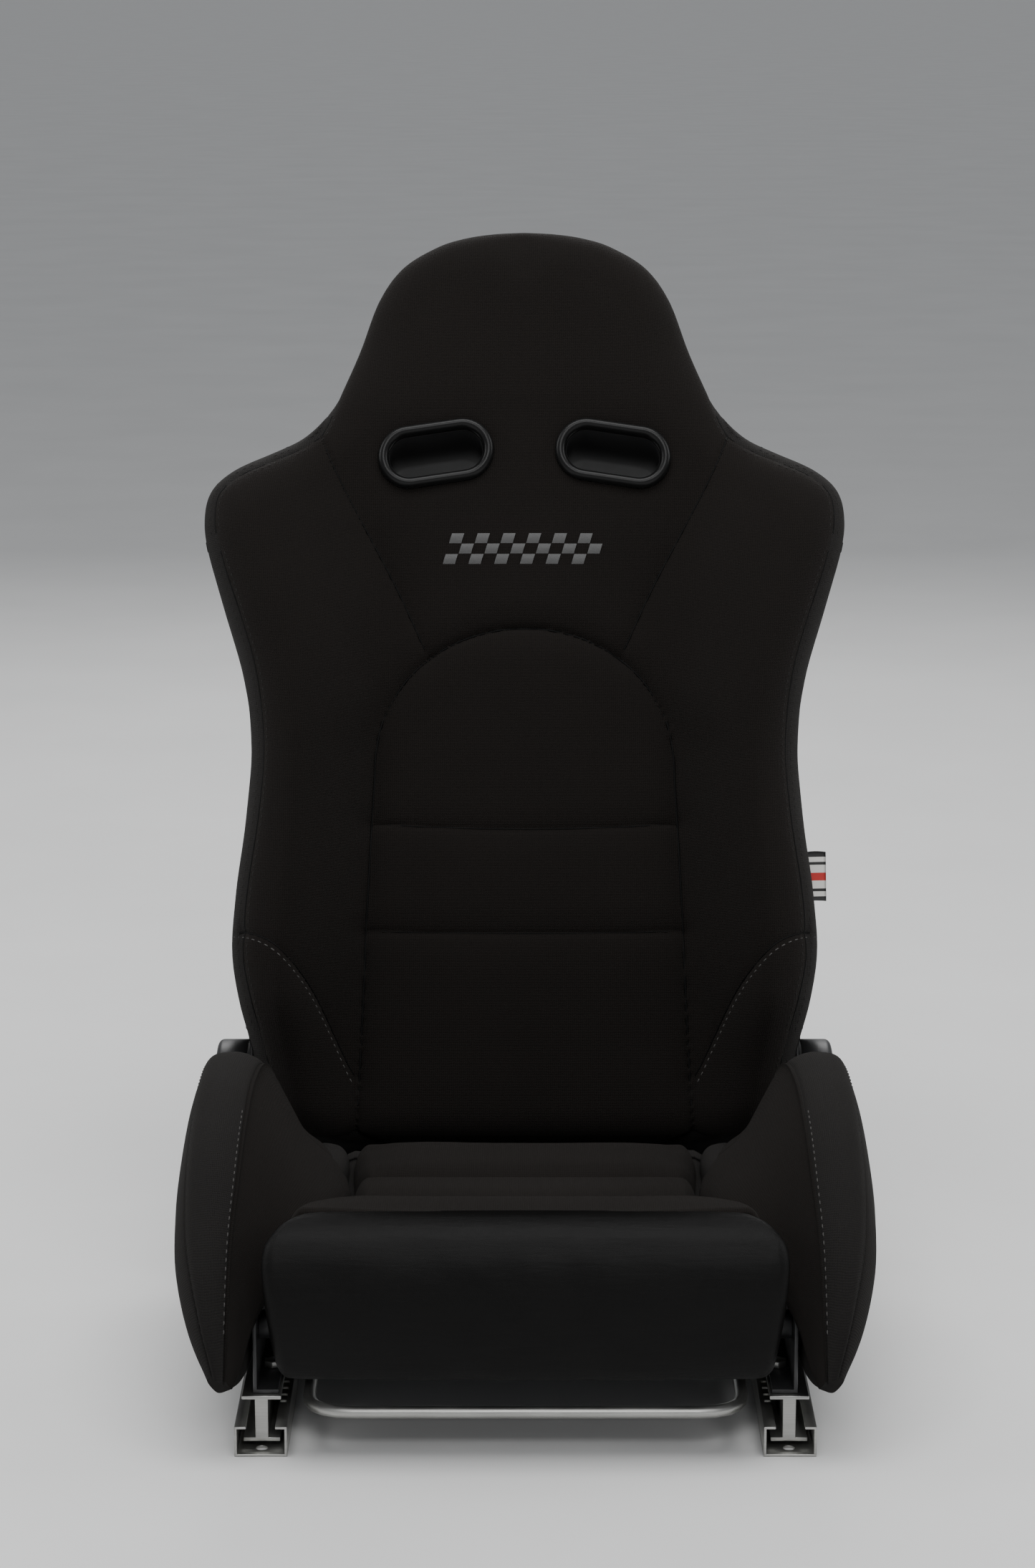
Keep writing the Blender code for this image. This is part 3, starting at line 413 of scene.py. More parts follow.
def back_section(up, squeeze):
    """Half section of the back at one height, evenly spaced from the front centre round to the rear centre.

    Each row is x, proud, distance round, distance inside the silhouette in front, and the same behind.
    """
    half = float(np.interp(up, SILHOUETTE[:, 1], SILHOUETTE[:, 0]))
    x = half * np.sin(np.linspace(0, pi / 2, 260))
    away = seam_distance(stacked(x, up), SILHOUETTE)
    away[-1] = 0.0
    front = front_proud(x, up) - edge_drop(away, float(smooth_value(FRONT_ROLL, up)))
    rear = REAR_PROUD + edge_drop(away, REAR_ROLL) - 0.004 * (1 - (x / half) ** 2)
    wall = np.linspace(front[-1], rear[-1], 60)[1:-1]
    depth = front[-1] - rear[-1]
    xs = np.concatenate([x, np.full_like(wall, half), x[::-1]])
    prouds = np.concatenate([front, wall, rear[::-1]])
    inside_front = np.concatenate([away, wall - front[-1], -depth - away[::-1]])
    inside_rear = np.concatenate([-depth - away, rear[-1] - wall, away[::-1]])
    around = np.concatenate([[0.0], np.cumsum(np.hypot(np.diff(xs), np.diff(prouds)))])
    even = np.linspace(0, around[-1], HALF_COLUMNS)
    channels = (xs, prouds, around, inside_front, inside_rear)
    columns = [np.interp(even, around, values) for values in channels]
    columns[1] = 0.005 + (columns[1] - 0.005) * squeeze
    return stacked(*columns)


def back_skin():
    """Closed skin of the back and its sewing coordinates, with the front centre in the middle column."""
    stations = []
    for a in np.linspace(pi / 2, 0, 7)[:-1]:
        stations.append((HEM_UP + HEM_ROLL * (1 - sin(a)), 0.72 + 0.28 * cos(a)))
    stations += [(up, 1.0) for up in np.linspace(HEM_UP + HEM_ROLL, CROWN_UP - CROWN_ROLL, 148)]
    for a in np.linspace(0, pi / 2, 26)[1:]:
        stations.append((CROWN_UP - CROWN_ROLL + (CROWN_ROLL - 0.0004) * sin(a), 1.0))
    grid, sewing = [], []
    for up, squeeze in stations:
        half = back_section(up, squeeze)
        mirror = half[-2:0:-1] * np.array([-1.0, 1.0, -1.0, 1.0, 1.0])
        section = np.concatenate([half, mirror])
        # The hem hangs lower behind.
        low = 0.018 * ease((0.060 - up) / 0.060) * ease((0.020 - section[:, 1]) / 0.055)
        points = HINGE + section[:, 1:2] * PROUD + (up - low)[:, None] * UP_BACK
        points[:, 0] = section[:, 0]
        grid.append(points)
        sewing.append(stacked(section[:, 2], up - low, section[:, 0], section[:, 3], section[:, 4]))
    return [np.roll(np.array(a), HALF_COLUMNS - 1, axis=1) for a in (grid, sewing)]


def insert_line():
    """The insert's outline from the hem on one side, over the arch, to the hem on the other."""
    turn = np.linspace(0, pi / 2, 30)[1:]
    arch = INSERT_SPRING + (INSERT_TOP - INSERT_SPRING) * np.sin(turn)
    ups = np.concatenate([np.linspace(HEM_UP, INSERT_SPRING, 24), arch])
    right = stacked(insert_half(ups), ups)
    return np.concatenate([right, right[::-1] * np.array([-1.0, 1.0])])


def cross_seam(up, sag):
    x = np.linspace(-1.0, 1.0, 21)
    return stacked(x * insert_half(up), up - sag * (1 - x**2))


def edge_seam(up):
    """How far inside the silhouette the outer seam runs; round the head it turns over the edge."""
    return -0.004 + (EDGE_SEAM_IN + 0.004) * ease((0.640 - up) / 0.07)


def back_seams():
    """Seams on the front of the back as (x, up) lines; a name's first word is the kind of seam."""
    lines = {
        "insert": insert_line(),
        "upper_cross": cross_seam(UPPER_CROSS, 0.005),
        "lower_cross": cross_seam(LOWER_CROSS, 0.002),
    }
    for side, word in SIDES:
        lines["v_" + word] = curve_through(V_SEAM, 40) * np.array([side, 1.0])
        lines["patch_" + word] = curve_through(PATCH_SEAM, 50) * np.array([side, 1.0])
    return lines


def slot_shape(points, side, drop=0.0):
    """How far inside (negative) or outside (positive) a harness opening each (x, up) point is."""
    tilt = -side * SLOT_TILT
    x, up = points[..., 0] - side * SLOT_X, points[..., 1] - SLOT_UP + drop
    along = x * cos(tilt) + up * sin(tilt)
    across = -x * sin(tilt) + up * cos(tilt)
    reach = (SLOT_LENGTH - SLOT_HEIGHT) / 2
    return np.hypot(np.maximum(np.abs(along) - reach, 0.0), across) - SLOT_HEIGHT / 2


# ---------------------------------------------------------------- materials
NONE, FULL = (0.0, 0.0, 0.0), (1.0, 1.0, 1.0)


class Look:
    """A material being made.  Most methods add one node and give its output."""

    def __init__(self, name):
        self.made = bpy.data.materials.new(name)
        self.made.use_nodes = True
        self.tree = self.made.node_tree
        self.place = self.add("TexCoord", "Object")

    def feed(self, socket, value):
        if isinstance(value, bpy.types.NodeSocket):
            self.tree.links.new(value, socket)
        else:
            socket.default_value = value

    def add(self, kind, output=0, **settings):
        """Each setting is a property of the node or else one of its inputs."""
        node = self.tree.nodes.new("ShaderNode" + kind)
        for key, value in settings.items():
            if hasattr(node, key):
                setattr(node, key, value)
            else:
                self.feed(node.inputs[key], value)
        return node.outputs[output]

    def maths(self, operation, *values):
        node = self.tree.nodes.new("ShaderNodeMath")
        node.operation = operation
        for socket, value in zip(node.inputs, values):
            self.feed(socket, value)
        return node.outputs[0]

    def sum(self, value, share, base=0.0):
        """value * share + base"""
        return self.maths("MULTIPLY_ADD", value, share, base)

    def ramp(self, source, *stops, interpolation="LINEAR"):
        node = self.tree.nodes.new("ShaderNodeValToRGB")
        node.color_ramp.interpolation = interpolation
        elements = node.color_ramp.elements
        while len(elements) < len(stops):
            elements.new(0.5)
        for element, (place, colour) in zip(elements, stops):
            element.position = place
            element.color = (*colour, 1.0)
        self.feed(node.inputs[0], source)
        return node.outputs[0]

    def noise(self, scale, detail=3.0, roughness=0.55, vector=None):
        vector = self.place if vector is None else vector
        return self.add("TexNoise", "Fac", Vector=vector, Scale=scale, Detail=detail, Roughness=roughness)

    def mixed(self, first, second, share):
        first, second = (*first, 1.0), (*second, 1.0)
        return self.add("Mix", "Result", data_type="RGBA", A=first, B=second, Factor=share)

    def bump(self, height, distance, strength, after=None):
        settings = {"Height": height, "Distance": distance, "Strength": strength}
        if after is not None:
            settings["Normal"] = after
        return self.add("Bump", "Normal", **settings)

    def ridges(self, colour, shade, depth, strength, **wave):
        """Colour and bump of fine ridges of thread, with painted shade darkening the colour between them."""
        height = self.add("TexWave", "Fac", Vector=self.place, **wave)
        dark = tuple(c * shade for c in colour)
        base = self.ramp(height, (0.2, dark), (0.8, colour))
        return {"Base_Color": base, "Normal": self.bump(height, depth, strength)}

    def surface(self, **inputs):
        """Feed the shader and give the finished material."""
        for key, value in inputs.items():
            self.feed(self.tree.nodes["Principled BSDF"].inputs[key.replace("_", " ")], value)
        return self.made


def knit_fabric(name, dark=(0.0030, 0.0025, 0.0021), light=(0.0092, 0.0075, 0.0066), rib=0.0017):
    """Black knitted cloth: upright ribs of small loops, a matte melange and a soft sheen."""
    look = Look(name)
    sewing = look.add("UVMap", "UV", uv_map="sewing")
    wobble = look.noise(160.0, 2.0)
    across = look.sum(wobble, 0.0009, look.add("SeparateXYZ", "X", Vector=sewing))
    along = look.sum(wobble, 0.0012, look.add("SeparateXYZ", "Y", Vector=sewing))
    turns = look.sum(across, 2 * pi / rib)
    ribs = look.maths("ABSOLUTE", look.maths("SINE", look.sum(turns, 0.5)))
    lean = look.sum(look.maths("SINE", turns), 0.9)
    loops = look.maths("SINE", look.sum(along, 2 * pi / (rib * 0.8), lean))
    height = look.sum(ribs, 0.6, look.sum(loops, 0.25, 0.25))
    height = look.sum(look.noise(2600.0, 2.0, 0.7), 0.5, height)
    # The colour partly follows the height of the ribs and loops, darker in their hollows: painted shade. The
    # noises give the melange and the cloudiness.
    tone = look.sum(look.noise(9.0, 4.0), 0.22, look.sum(height, 0.38))
    tone = look.sum(look.noise(900.0, 2.0, 0.75), 0.45, tone)
    return look.surface(
        Base_Color=look.ramp(tone, (0.35, dark), (0.79, light)), Normal=look.bump(height, 0.0006, 0.75),
        Roughness=0.93, Specular_IOR_Level=0.12,
        Sheen_Weight=0.022, Sheen_Roughness=0.45, Sheen_Tint=(0.95, 0.90, 0.84, 1.0),
    )


def leatherette(name):
    """Black coated cloth with pebbled grain, fine stretch creases and a satin shine."""
    look = Look(name)
    pebble = look.add("TexVoronoi", "Distance", feature="DISTANCE_TO_EDGE", Vector=look.place, Scale=1100.0)
    grain = look.ramp(pebble, (0.0, NONE), (0.16, FULL))
    stretched = look.add("Mapping", Vector=look.place, Scale=(26, 190, 190), Rotation=(0, 0, 0.35))
    crease = look.add("TexNoise", "Fac", Vector=stretched, Scale=1, Detail=4, Roughness=0.6, Distortion=0.7)
    cloud = look.noise(14.0, 4.0)
    # The colour partly follows the creases, darker in their hollows: painted shade. The cloud is the coat's own
    # uneven tone.
    tone = look.sum(cloud, 0.6, look.sum(crease, 0.4))
    return look.surface(
        Base_Color=look.ramp(tone, (0.3, (0.0020, 0.0019, 0.0018)), (0.8, (0.0042, 0.0040, 0.0038))),
        Normal=look.bump(grain, 0.00012, 0.5, look.bump(crease, 0.0009, 0.35)),
        Roughness=look.sum(cloud, 0.16, 0.33), Specular_IOR_Level=0.11,
    )


def moulded_plastic(name, colour=(0.0065, 0.0065, 0.0068), roughness=0.34, shine=0.38):
    """Satin black plastic with a fine spark-eroded grain and lighter rubbed edges."""
    look = Look(name)
    cloud = look.noise(22.0, 4.0)
    edge = look.ramp(look.add("NewGeometry", "Pointiness"), (0.52, NONE), (0.60, FULL))
    rubbed = tuple(c * 2.2 + 0.006 for c in colour)
    return look.surface(
        Base_Color=look.mixed(colour, rubbed, look.maths("MULTIPLY", edge, cloud)),
        Normal=look.bump(look.noise(1900.0, 3.0, 0.7), 0.00008, 0.4),
        Roughness=look.sum(cloud, 0.14, roughness), Specular_IOR_Level=shine,
    )


def coated_steel(name):
    """Black powder coat: fine orange peel, lighter where an edge has rubbed through."""
    look = Look(name)
    cloud = look.noise(35.0, 5.0)
    edge = look.ramp(look.add("NewGeometry", "Pointiness"), (0.54, NONE), (0.66, FULL))
    wear = look.maths("MULTIPLY", edge, look.ramp(cloud, (0.45, NONE), (0.65, FULL)))
    return look.surface(
        Base_Color=look.mixed((0.014, 0.014, 0.015), (0.20, 0.20, 0.21), wear), Metallic=wear,
        Normal=look.bump(look.noise(700.0, 2.0), 0.00015, 0.3), Roughness=look.sum(cloud, 0.2, 0.32),
    )


def bare_metal(name, colour, roughness):
    """Plated or drawn steel: lines along the draw, faint stains, brighter and darker patches."""
    look = Look(name)
    stretched = look.add("Mapping", Vector=look.place, Scale=(30.0, 4.0, 900.0))
    lines = look.noise(1.0, 5.0, 0.7, stretched)
    cloud = look.noise(18.0, 5.0)
    darker = tuple(c * 0.62 for c in colour)
    tone = look.sum(lines, 0.5, look.sum(cloud, 0.5))
    return look.surface(
        Base_Color=look.ramp(tone, (0.3, darker), (0.7, colour)), Metallic=1.0,
        Normal=look.bump(lines, 0.0001, 0.25), Roughness=look.sum(cloud, 0.25, roughness),
    )


def sewing_thread(name, colour):
    """Twisted thread."""
    look = Look(name)
    twist = look.ridges(colour, 0.55, 0.0001, 0.5, Scale=900.0, Distortion=1.5, bands_direction="DIAGONAL")
    return look.surface(**twist, Roughness=0.7, Specular_IOR_Level=0.15)


def woven_strap(name, colour):
    """Flat woven strap with a diagonal weave."""
    look = Look(name)
    weave = look.ridges(colour, 0.5, 0.0003, 0.6, Scale=320.0, Distortion=0.6, bands_direction="DIAGONAL")
    return look.surface(**weave, Roughness=0.8)


def woven_tag(name, low, high):
    """White woven tag with dark ends and one red stripe across its middle, between two heights."""
    look = Look(name)
    height = look.maths("SUBTRACT", look.add("SeparateXYZ", "Z", Vector=look.place), low)
    white, black, red = (0.62, 0.61, 0.58), (0.012, 0.012, 0.012), (0.42, 0.018, 0.014)
    stripes = look.ramp(
        look.sum(height, 1 / (high - low)), (0.0, black), (0.10, white), (0.20, black), (0.26, white),
        (0.42, red), (0.58, white), (0.74, black), (0.80, white), (0.90, black), interpolation="CONSTANT",
    )
    weave = look.add("TexWave", "Fac", Vector=look.place, Scale=500.0, bands_direction="Z")
    return look.surface(Base_Color=stripes, Normal=look.bump(weave, 0.0002, 0.5), Roughness=0.7)


def pale_floor(name):
    look = Look(name)
    cloud = look.ramp(look.noise(3.0, 4.0), (0.3, (0.70, 0.70, 0.695)), (0.7, (0.74, 0.74, 0.735)))
    return look.surface(Base_Color=cloud, Roughness=0.7)


FABRIC = knit_fabric("knit_fabric")
FABRIC_SIDE = knit_fabric("knit_fabric_side", (0.0060, 0.0055, 0.0052), (0.0150, 0.0140, 0.0134), 0.0019)
VINYL = leatherette("leatherette")
BEZEL_PLASTIC = moulded_plastic("bezel_plastic", (0.0050, 0.0050, 0.0050), 0.24, 0.20)
# darker and duller copy of the bezel plastic: painted shade for the insides of the harness openings
SHADED_SLEEVE_PLASTIC = moulded_plastic("shaded_sleeve_plastic", (0.0036, 0.0036, 0.0037), 0.50, 0.055)
BLACK_PLASTIC = moulded_plastic("black_plastic")
COATED = coated_steel("coated_steel")
ZINC = bare_metal("zinc_plated_steel", (0.50, 0.50, 0.48), 0.28)
SPRING = bare_metal("spring_steel", (0.16, 0.16, 0.17), 0.30)
GREY_THREAD = sewing_thread("grey_thread", (0.085, 0.082, 0.079))
BLACK_THREAD = sewing_thread("black_thread", (0.0160, 0.0150, 0.0140))
# near-black, darker than the cloth: painted shade along the bottoms of the back's seams
SEAM_SHADE_THREAD = sewing_thread("seam_shade_thread", (0.0012, 0.0011, 0.0010))
MOTIF_THREAD = sewing_thread("motif_thread", (0.130, 0.130, 0.130))
STRAP = woven_strap("elastic_strap", (0.03, 0.03, 0.03))


# ---------------------------------------------------------------- threads
STITCH_PITCH, STITCH_LENGTH, STITCH_RADIUS = 0.0068, 0.0042, 0.00052
STITCH_SHAPE = ((-0.5, 0.25), (-0.32, 0.9), (0.0, 1.0), (0.32, 0.9), (0.5, 0.25))    # (along, thickness)


def spokes(count, aside, normal, lift=0.0):
    """Directions all round a thread, in the plane of two vectors."""
    turns = 2 * pi * np.arange(count) / count
    return [aside * cos(turn) + normal * (sin(turn) + lift) for turn in turns]


def stitches(name, line, thread, body):
    """A row of thread stitches laid along (points, normals) on a surface."""
    points, normals = line
    run = np.concatenate([[0.0], np.cumsum(np.linalg.norm(np.diff(points, axis=0), axis=1))])
    sides, rings = 6, len(STITCH_SHAPE)
    pattern = grid_faces(rings, sides, closed=True)
    pattern += [tuple(range(sides))[::-1], tuple(range((rings - 1) * sides, rings * sides))]
    verts, faces = [], []

    def on_line(array, at):
        return np.array([np.interp(at, run, array[:, k]) for k in range(3)])

    for centre in np.arange(STITCH_PITCH, run[-1] - STITCH_PITCH / 2, STITCH_PITCH):
        here = on_line(points, centre)
        reach = STITCH_LENGTH / 2
        ahead = unit(on_line(points, centre + reach) - on_line(points, centre - reach))
        normal = on_line(normals, centre)
        normal = unit(normal - ahead * (normal @ ahead))
        around = spokes(sides, np.cross(ahead, normal), normal)
        faces += [tuple(len(verts) + k for k in face) for face in pattern]
        for share, fat in STITCH_SHAPE:
            middle = here + ahead * share * STITCH_LENGTH + normal * STITCH_RADIUS * (0.25 - 4.8 * share**2)
            verts += [middle + spoke * STITCH_RADIUS * fat for spoke in around]
    dress(new_object(name, verts, faces, thread), body)


def seam_shade_thread(name, line, radius):
    """One thread pulled along the bottom of a seam of the back; its near-black colour, darker than the cloth,
    paints the shade in the seam's groove.
    """
    points, normals = line
    aside = unit(np.cross(np.gradient(points, axis=0), normals))
    grid = np.stack([points + spoke * radius for spoke in spokes(7, aside, normals, -0.2)], axis=1)
    skin_piece(name, grid, np.zeros(grid.shape[:2] + (2,)), SEAM_SHADE_THREAD, "backrest", closed=True)


class Skin:
    """The back's finished skin, which gives points and normals along a line in sewing coordinates."""

    def __init__(self, grid, sewing):
        self.grid, self.sewing = grid, sewing
        self.normals = grid_normals(grid)
        self.middle = grid.shape[1] // 2
        self.ups = sewing[:, self.middle, UP]

    def on_row(self, row, channel, value, side):
        """Column, as a fraction, where a channel reaches a value between the front centre and one edge."""
        origin, step = self.middle, side
        if channel == IN_REAR:
            origin, step = (2 * self.middle, -1) if side > 0 else (0, 1)
        values = self.sewing[row, origin + step * np.arange(self.middle - 1), channel]
        if channel == X:
            values = values * side
            count = int(np.argmax(values > values.max() - 1e-6)) + 1
            return origin + step * np.interp(value, values[:count], np.arange(count))
        start = int(np.argmax(values < 0.0))
        first = start
        while first > 0 and values[first - 1] > values[first]:
            first -= 1
        return origin + step * np.interp(-value, -values[first:start + 8], np.arange(first, start + 8))

    def walk(self, line, channel=X):
        """Points and normals along (value, up) pairs; the value's sign picks the side."""
        points, normals = [], []
        for value, up in line:
            side = 1 if value >= 0 else -1
            row = float(np.interp(up, self.ups, np.arange(len(self.ups))))
            r = min(int(row), len(self.ups) - 2)
            point, normal = np.zeros(3), np.zeros(3)
            for weight, k in ((1 - row + r, r), (row - r, r + 1)):
                column = self.on_row(k, channel, abs(value), side)
                c = min(int(column), self.grid.shape[1] - 2)
                for share, j in ((1 - column + c, c), (column - c, c + 1)):
                    point += weight * share * self.grid[k, j]
                    normal += weight * share * self.normals[k, j]
            points.append(point)
            normals.append(unit(normal))
        return np.array(points), np.array(normals)


# ---------------------------------------------------------------- backrest
def back_pins(sewing, lines):
    """Points of the back that are held while it puffs, and how far the others may swell."""
    flat = sewing[:, :, [X, UP]]
    front = sewing[:, :, IN_FRONT] > -0.02
    pinned = np.abs(sewing[:, :, IN_FRONT] - edge_seam(sewing[:, :, UP])) < EDGE_PIN
    pinned |= np.abs(sewing[:, :, IN_REAR] - REAR_SEAM) < EDGE_PIN
    for line in lines.values():
        pinned |= front & (seam_distance(flat, line) < SEAM_PIN)
    for side, _ in SIDES:
        for drop in (0.0, REAR_DROP):
            pinned |= slot_shape(flat, side, drop) < SLOT_PIN
    pinned[[0, -1]] = True
    in_insert = front & (np.abs(flat[:, :, 0]) < insert_half(flat[:, :, 1])) & (flat[:, :, 1] < INSERT_TOP)
    return pinned, np.where(in_insert, INSERT_SWELL, BACK_SWELL)


def back_depth(sewing, lines):
    """How deep the finished back is pressed in along its seams and round its openings."""
    flat, up = sewing[:, :, [X, UP]], sewing[:, :, UP]
    front = sewing[:, :, IN_FRONT] > edge_seam(up) - 0.004
    rear = sewing[:, :, IN_REAR] > 0
    depth = np.zeros(up.shape)
    for key, line in lines.items():
        deep, width, _ = SEAM_CUTS[key.split("_")[0]]
        depth += front * groove(seam_distance(flat, line), deep, width, 0.6 * deep, 0.014)
    depth += groove(np.abs(sewing[:, :, IN_FRONT] - edge_seam(up)), *EDGE_CUT)
    depth += rear * groove(np.abs(sewing[:, :, IN_REAR] - REAR_SEAM), *REAR_CUT)
    for side, _ in SIDES:
        for where, drop in ((front, 0.0), (rear, REAR_DROP)):
            away = np.maximum(slot_shape(flat, side, drop) - 0.008, 0.0)
            depth += where * groove(away, 0.0016, 0.010)
    return depth


def back_panels(sewing):
    """Sewn panels of the back: for each, the quads it takes and its cloth."""
    middle = (sewing[:-1, :-1] + sewing[1:, 1:]) / 2
    flat = middle[:, :, [X, UP]]
    x, up = np.abs(flat[:, :, 0]), flat[:, :, 1]
    on_front = middle[:, :, IN_FRONT] > edge_seam(up)
    v_edge = np.interp(up, *curve_through(V_SEAM, 40)[::-1, ::-1].T)
    patch_top = np.interp(x, *curve_through(PATCH_SEAM, 50)[::-1].T)
    in_insert = on_front & (x < insert_half(up)) & (up < INSERT_TOP)
    in_head = on_front & ~in_insert & ((up > HEAD_CORNER) | ((x < v_edge) & (up > HEAD_LOW)))
    in_patch = on_front & ~in_insert & ~in_head & (up < patch_top) & (x > PATCH_INNER)
    in_side = on_front & ~in_insert & ~in_head & ~in_patch
    in_rear = ~on_front & (middle[:, :, IN_REAR] > REAR_SEAM)
    solid = np.ones_like(on_front)
    for side, _ in SIDES:
        solid &= ~(on_front & (slot_shape(flat, side) < SLOT_CUT))
        solid &= ~(in_rear & (slot_shape(flat, side, REAR_DROP) < SLOT_CUT))
    panels = {
        "head_panel": (in_head & solid, FABRIC),
        "insert_upper": (in_insert & (up > UPPER_CROSS), FABRIC),
        "insert_middle": (in_insert & (up <= UPPER_CROSS) & (up > LOWER_CROSS), FABRIC),
        "insert_lower": (in_insert & (up <= LOWER_CROSS), FABRIC),
        "back_rear_panel": (in_rear & solid, FABRIC_SIDE),
    }
    for side, word in SIDES:
        here = (flat[:, :, 0] > 0) == (side > 0)
        panels["back_side_panel_" + word] = (in_side & here, FABRIC)
        panels["back_patch_" + word] = (in_patch & here, FABRIC)
        panels["back_gusset_" + word] = (~on_front & ~in_rear & here, FABRIC_SIDE)
    return panels


def build_back():
    """The stuffed cover of the back; gives its skin and seam lines."""
    grid, sewing = back_skin()
    lines = back_seams()
    pinned, cap = back_pins(sewing, lines)
    grid = puff("back_cloth", grid, pinned, 3.0, cap, closed=True)
    # The rear centre is both the first and the last column, so that nothing jumps when points are added.
    grid, sewing = (np.concatenate([a, a[:, :1]], axis=1) for a in (grid, sewing))
    sewing[:, 0, AROUND] *= -1
    grid, sewing = finer_both(grid, sewing)
    grid = pressed_in(grid, back_depth(sewing, lines))
    uv = sewing[:, :, [AROUND, UP]]
    stands_for = {"insert_upper": "back_cushion", "back_rear_panel": "back_shell"}
    for name, (where, cloth) in back_panels(sewing).items():
        skin_piece(name, grid, uv, cloth, "backrest", stands_for.get(name), keep=where)
    for name, end in (("back_hem", 0), ("back_crown", -1)):
        _, y, z = grid[end].mean(axis=0)
        middle = stacked(grid[end, :, 0] * 0.75, y, z)
        closing_piece(name, grid, uv, end, middle, (1.0, 0.75, 0.4, 0.0), "backrest")
    return Skin(grid, sewing), lines


def back_stitching(skin, lines):
    """Seam threads, near-black to paint the shade in the seams, and top stitching of the back."""
    ups = np.linspace(-0.004, 0.600, 240)
    rear_ups = np.linspace(0.020, 0.690, 260)

    def on_edge(side, offset):
        return skin.walk(stacked(side * np.maximum(edge_seam(ups) + offset, 1e-4), ups), IN_FRONT)

    for side, word in SIDES:
        for row, offset in EDGE_STITCHES.items():
            stitches(f"edge_stitch_{row}_{word}", on_edge(side, offset), BLACK_THREAD, "backrest")
        seam_shade_thread("edge_seam_" + word, on_edge(side, 0.0), 0.0007)
        above_patch = lines["patch_" + word][4:] + np.array([side * 0.0026, -0.0036])
        stitches("patch_stitch_" + word, skin.walk(above_patch), GREY_THREAD, "backrest")
        rear = skin.walk(stacked(side * (REAR_SEAM + REAR_STITCHES), rear_ups), IN_REAR)
        stitches("rear_stitch_" + word, rear, BLACK_THREAD, "backrest")
    for key, line in lines.items():
        trim = 2 if key == "insert" else 1
        seam_shade_thread(key + "_seam", skin.walk(line[trim:-trim]), SEAM_CUTS[key.split("_")[0]][2])


def slot_loop(side, grow, proud):
    """Loop round a harness opening, grown beyond it, at a height proud of the hinge."""
    turns = pi * np.concatenate([np.linspace(-0.5, 0.5, 21), np.linspace(0.5, 1.5, 21)])
    radius = SLOT_HEIGHT / 2 + grow
    along = radius * np.cos(turns) + np.repeat([1, -1], 21) * (SLOT_LENGTH - SLOT_HEIGHT) / 2
    across = radius * np.sin(turns)
    tilt = -side * SLOT_TILT
    up = SLOT_UP - (CENTRE_PROUD - proud) * SLOT_FALL + along * sin(tilt) + across * cos(tilt)
    points = HINGE + proud * PROUD + np.outer(up, UP_BACK)
    points[:, 0] = side * SLOT_X + along * cos(tilt) - across * sin(tilt)
    return points


def half_round(radius, base, height, count):
    """Rounded crest of a ring's section as (grow, proud)."""
    turns = np.linspace(0, pi, count)
    return [(radius * (1 - cos(a)), base + height * sin(a)) for a in turns]


def build_bezels():
    """Round-sectioned rings and smooth sleeves in the harness openings."""
    face, back = CENTRE_PROUD - 0.0012, REAR_PROUD - 0.0035
    lip = 0.0024                 # the rings reach this far over the sleeve's edge
    front_ring = half_round(0.0046, face + 0.0004, 0.0055, 11) + [
        (0.0085, face - 0.0012), (lip, face - 0.0012), (lip, face - 0.0080), (0.0, face - 0.0080),
    ]
    rear_ring = half_round(0.0044, back, -0.0032, 9) + [
        (0.0084, back + 0.002), (lip, back + 0.002), (lip, -0.0392), (0.0, -0.0392),
    ]
    sleeve = [
        (-0.0007, face - 0.0008), (-0.0007, -0.010), (-0.0007, -0.0385), (lip, -0.0385),
        (lip, face - 0.0083), (-0.0001, face - 0.0083), (-0.0001, face - 0.0008),
    ]
    for side, word in SIDES:
        for name, section, plastic, stands_for in (
            ("harness_bezel_cover_", front_ring, BEZEL_PLASTIC, "harness_bezel_" + word),
            # the sleeves take the darker plastic, painted shade inside the openings
            ("harness_sleeve_", sleeve, SHADED_SLEEVE_PLASTIC, None),
            ("rear_bezel_cover_", rear_ring, BEZEL_PLASTIC, "rear_bezel_" + word),
        ):
            ring = solid_of_loops(name + word, [slot_loop(side, *place) for place in section], plastic)
            dress(ring, "backrest", stands_for)


def build_motif(skin):
    """Satin-stitched strip of slanted checks under the harness openings."""
    left, low, high = -0.066, 0.4665, 0.4935
    rows, columns, lean = 3, 12, 0.30
    wide, tall = -2 * left / columns, (high - low) / rows
    thread, threads = 0.00055, 19                  # width of a thread and how many fill a check
    inset, thick = 0.0002, 0.0009
    verts, faces = [], []
    for row in range(rows):
        ups = np.linspace(low + row * tall + inset, low + (row + 1) * tall - inset, 5)
        for column in range(row % 2, columns, 2):
            for k in range(threads):
                x = left + column * wide + (k + 0.5) * thread
                points, normals = skin.walk([(x + (up - (low + high) / 2) * lean, up) for up in ups])
                faces += [tuple(len(verts) + i for i in face) for face in grid_faces(5, 4)]
                for point, normal, lift in zip(points, normals, (0.0, 0.9, 1.15, 0.9, 0.0)):
                    for across, rise in ((-0.5, 0.0), (-0.3, 0.45), (0.3, 0.45), (0.5, 0.0)):
                        above = thick * lift + thread * rise * min(lift + 0.2, 1.0)
                        verts.append(point + normal * above + np.array([across * thread, 0.0, 0.0]))
    dress(new_object("stitched_motif", verts, faces, MOTIF_THREAD), "backrest")


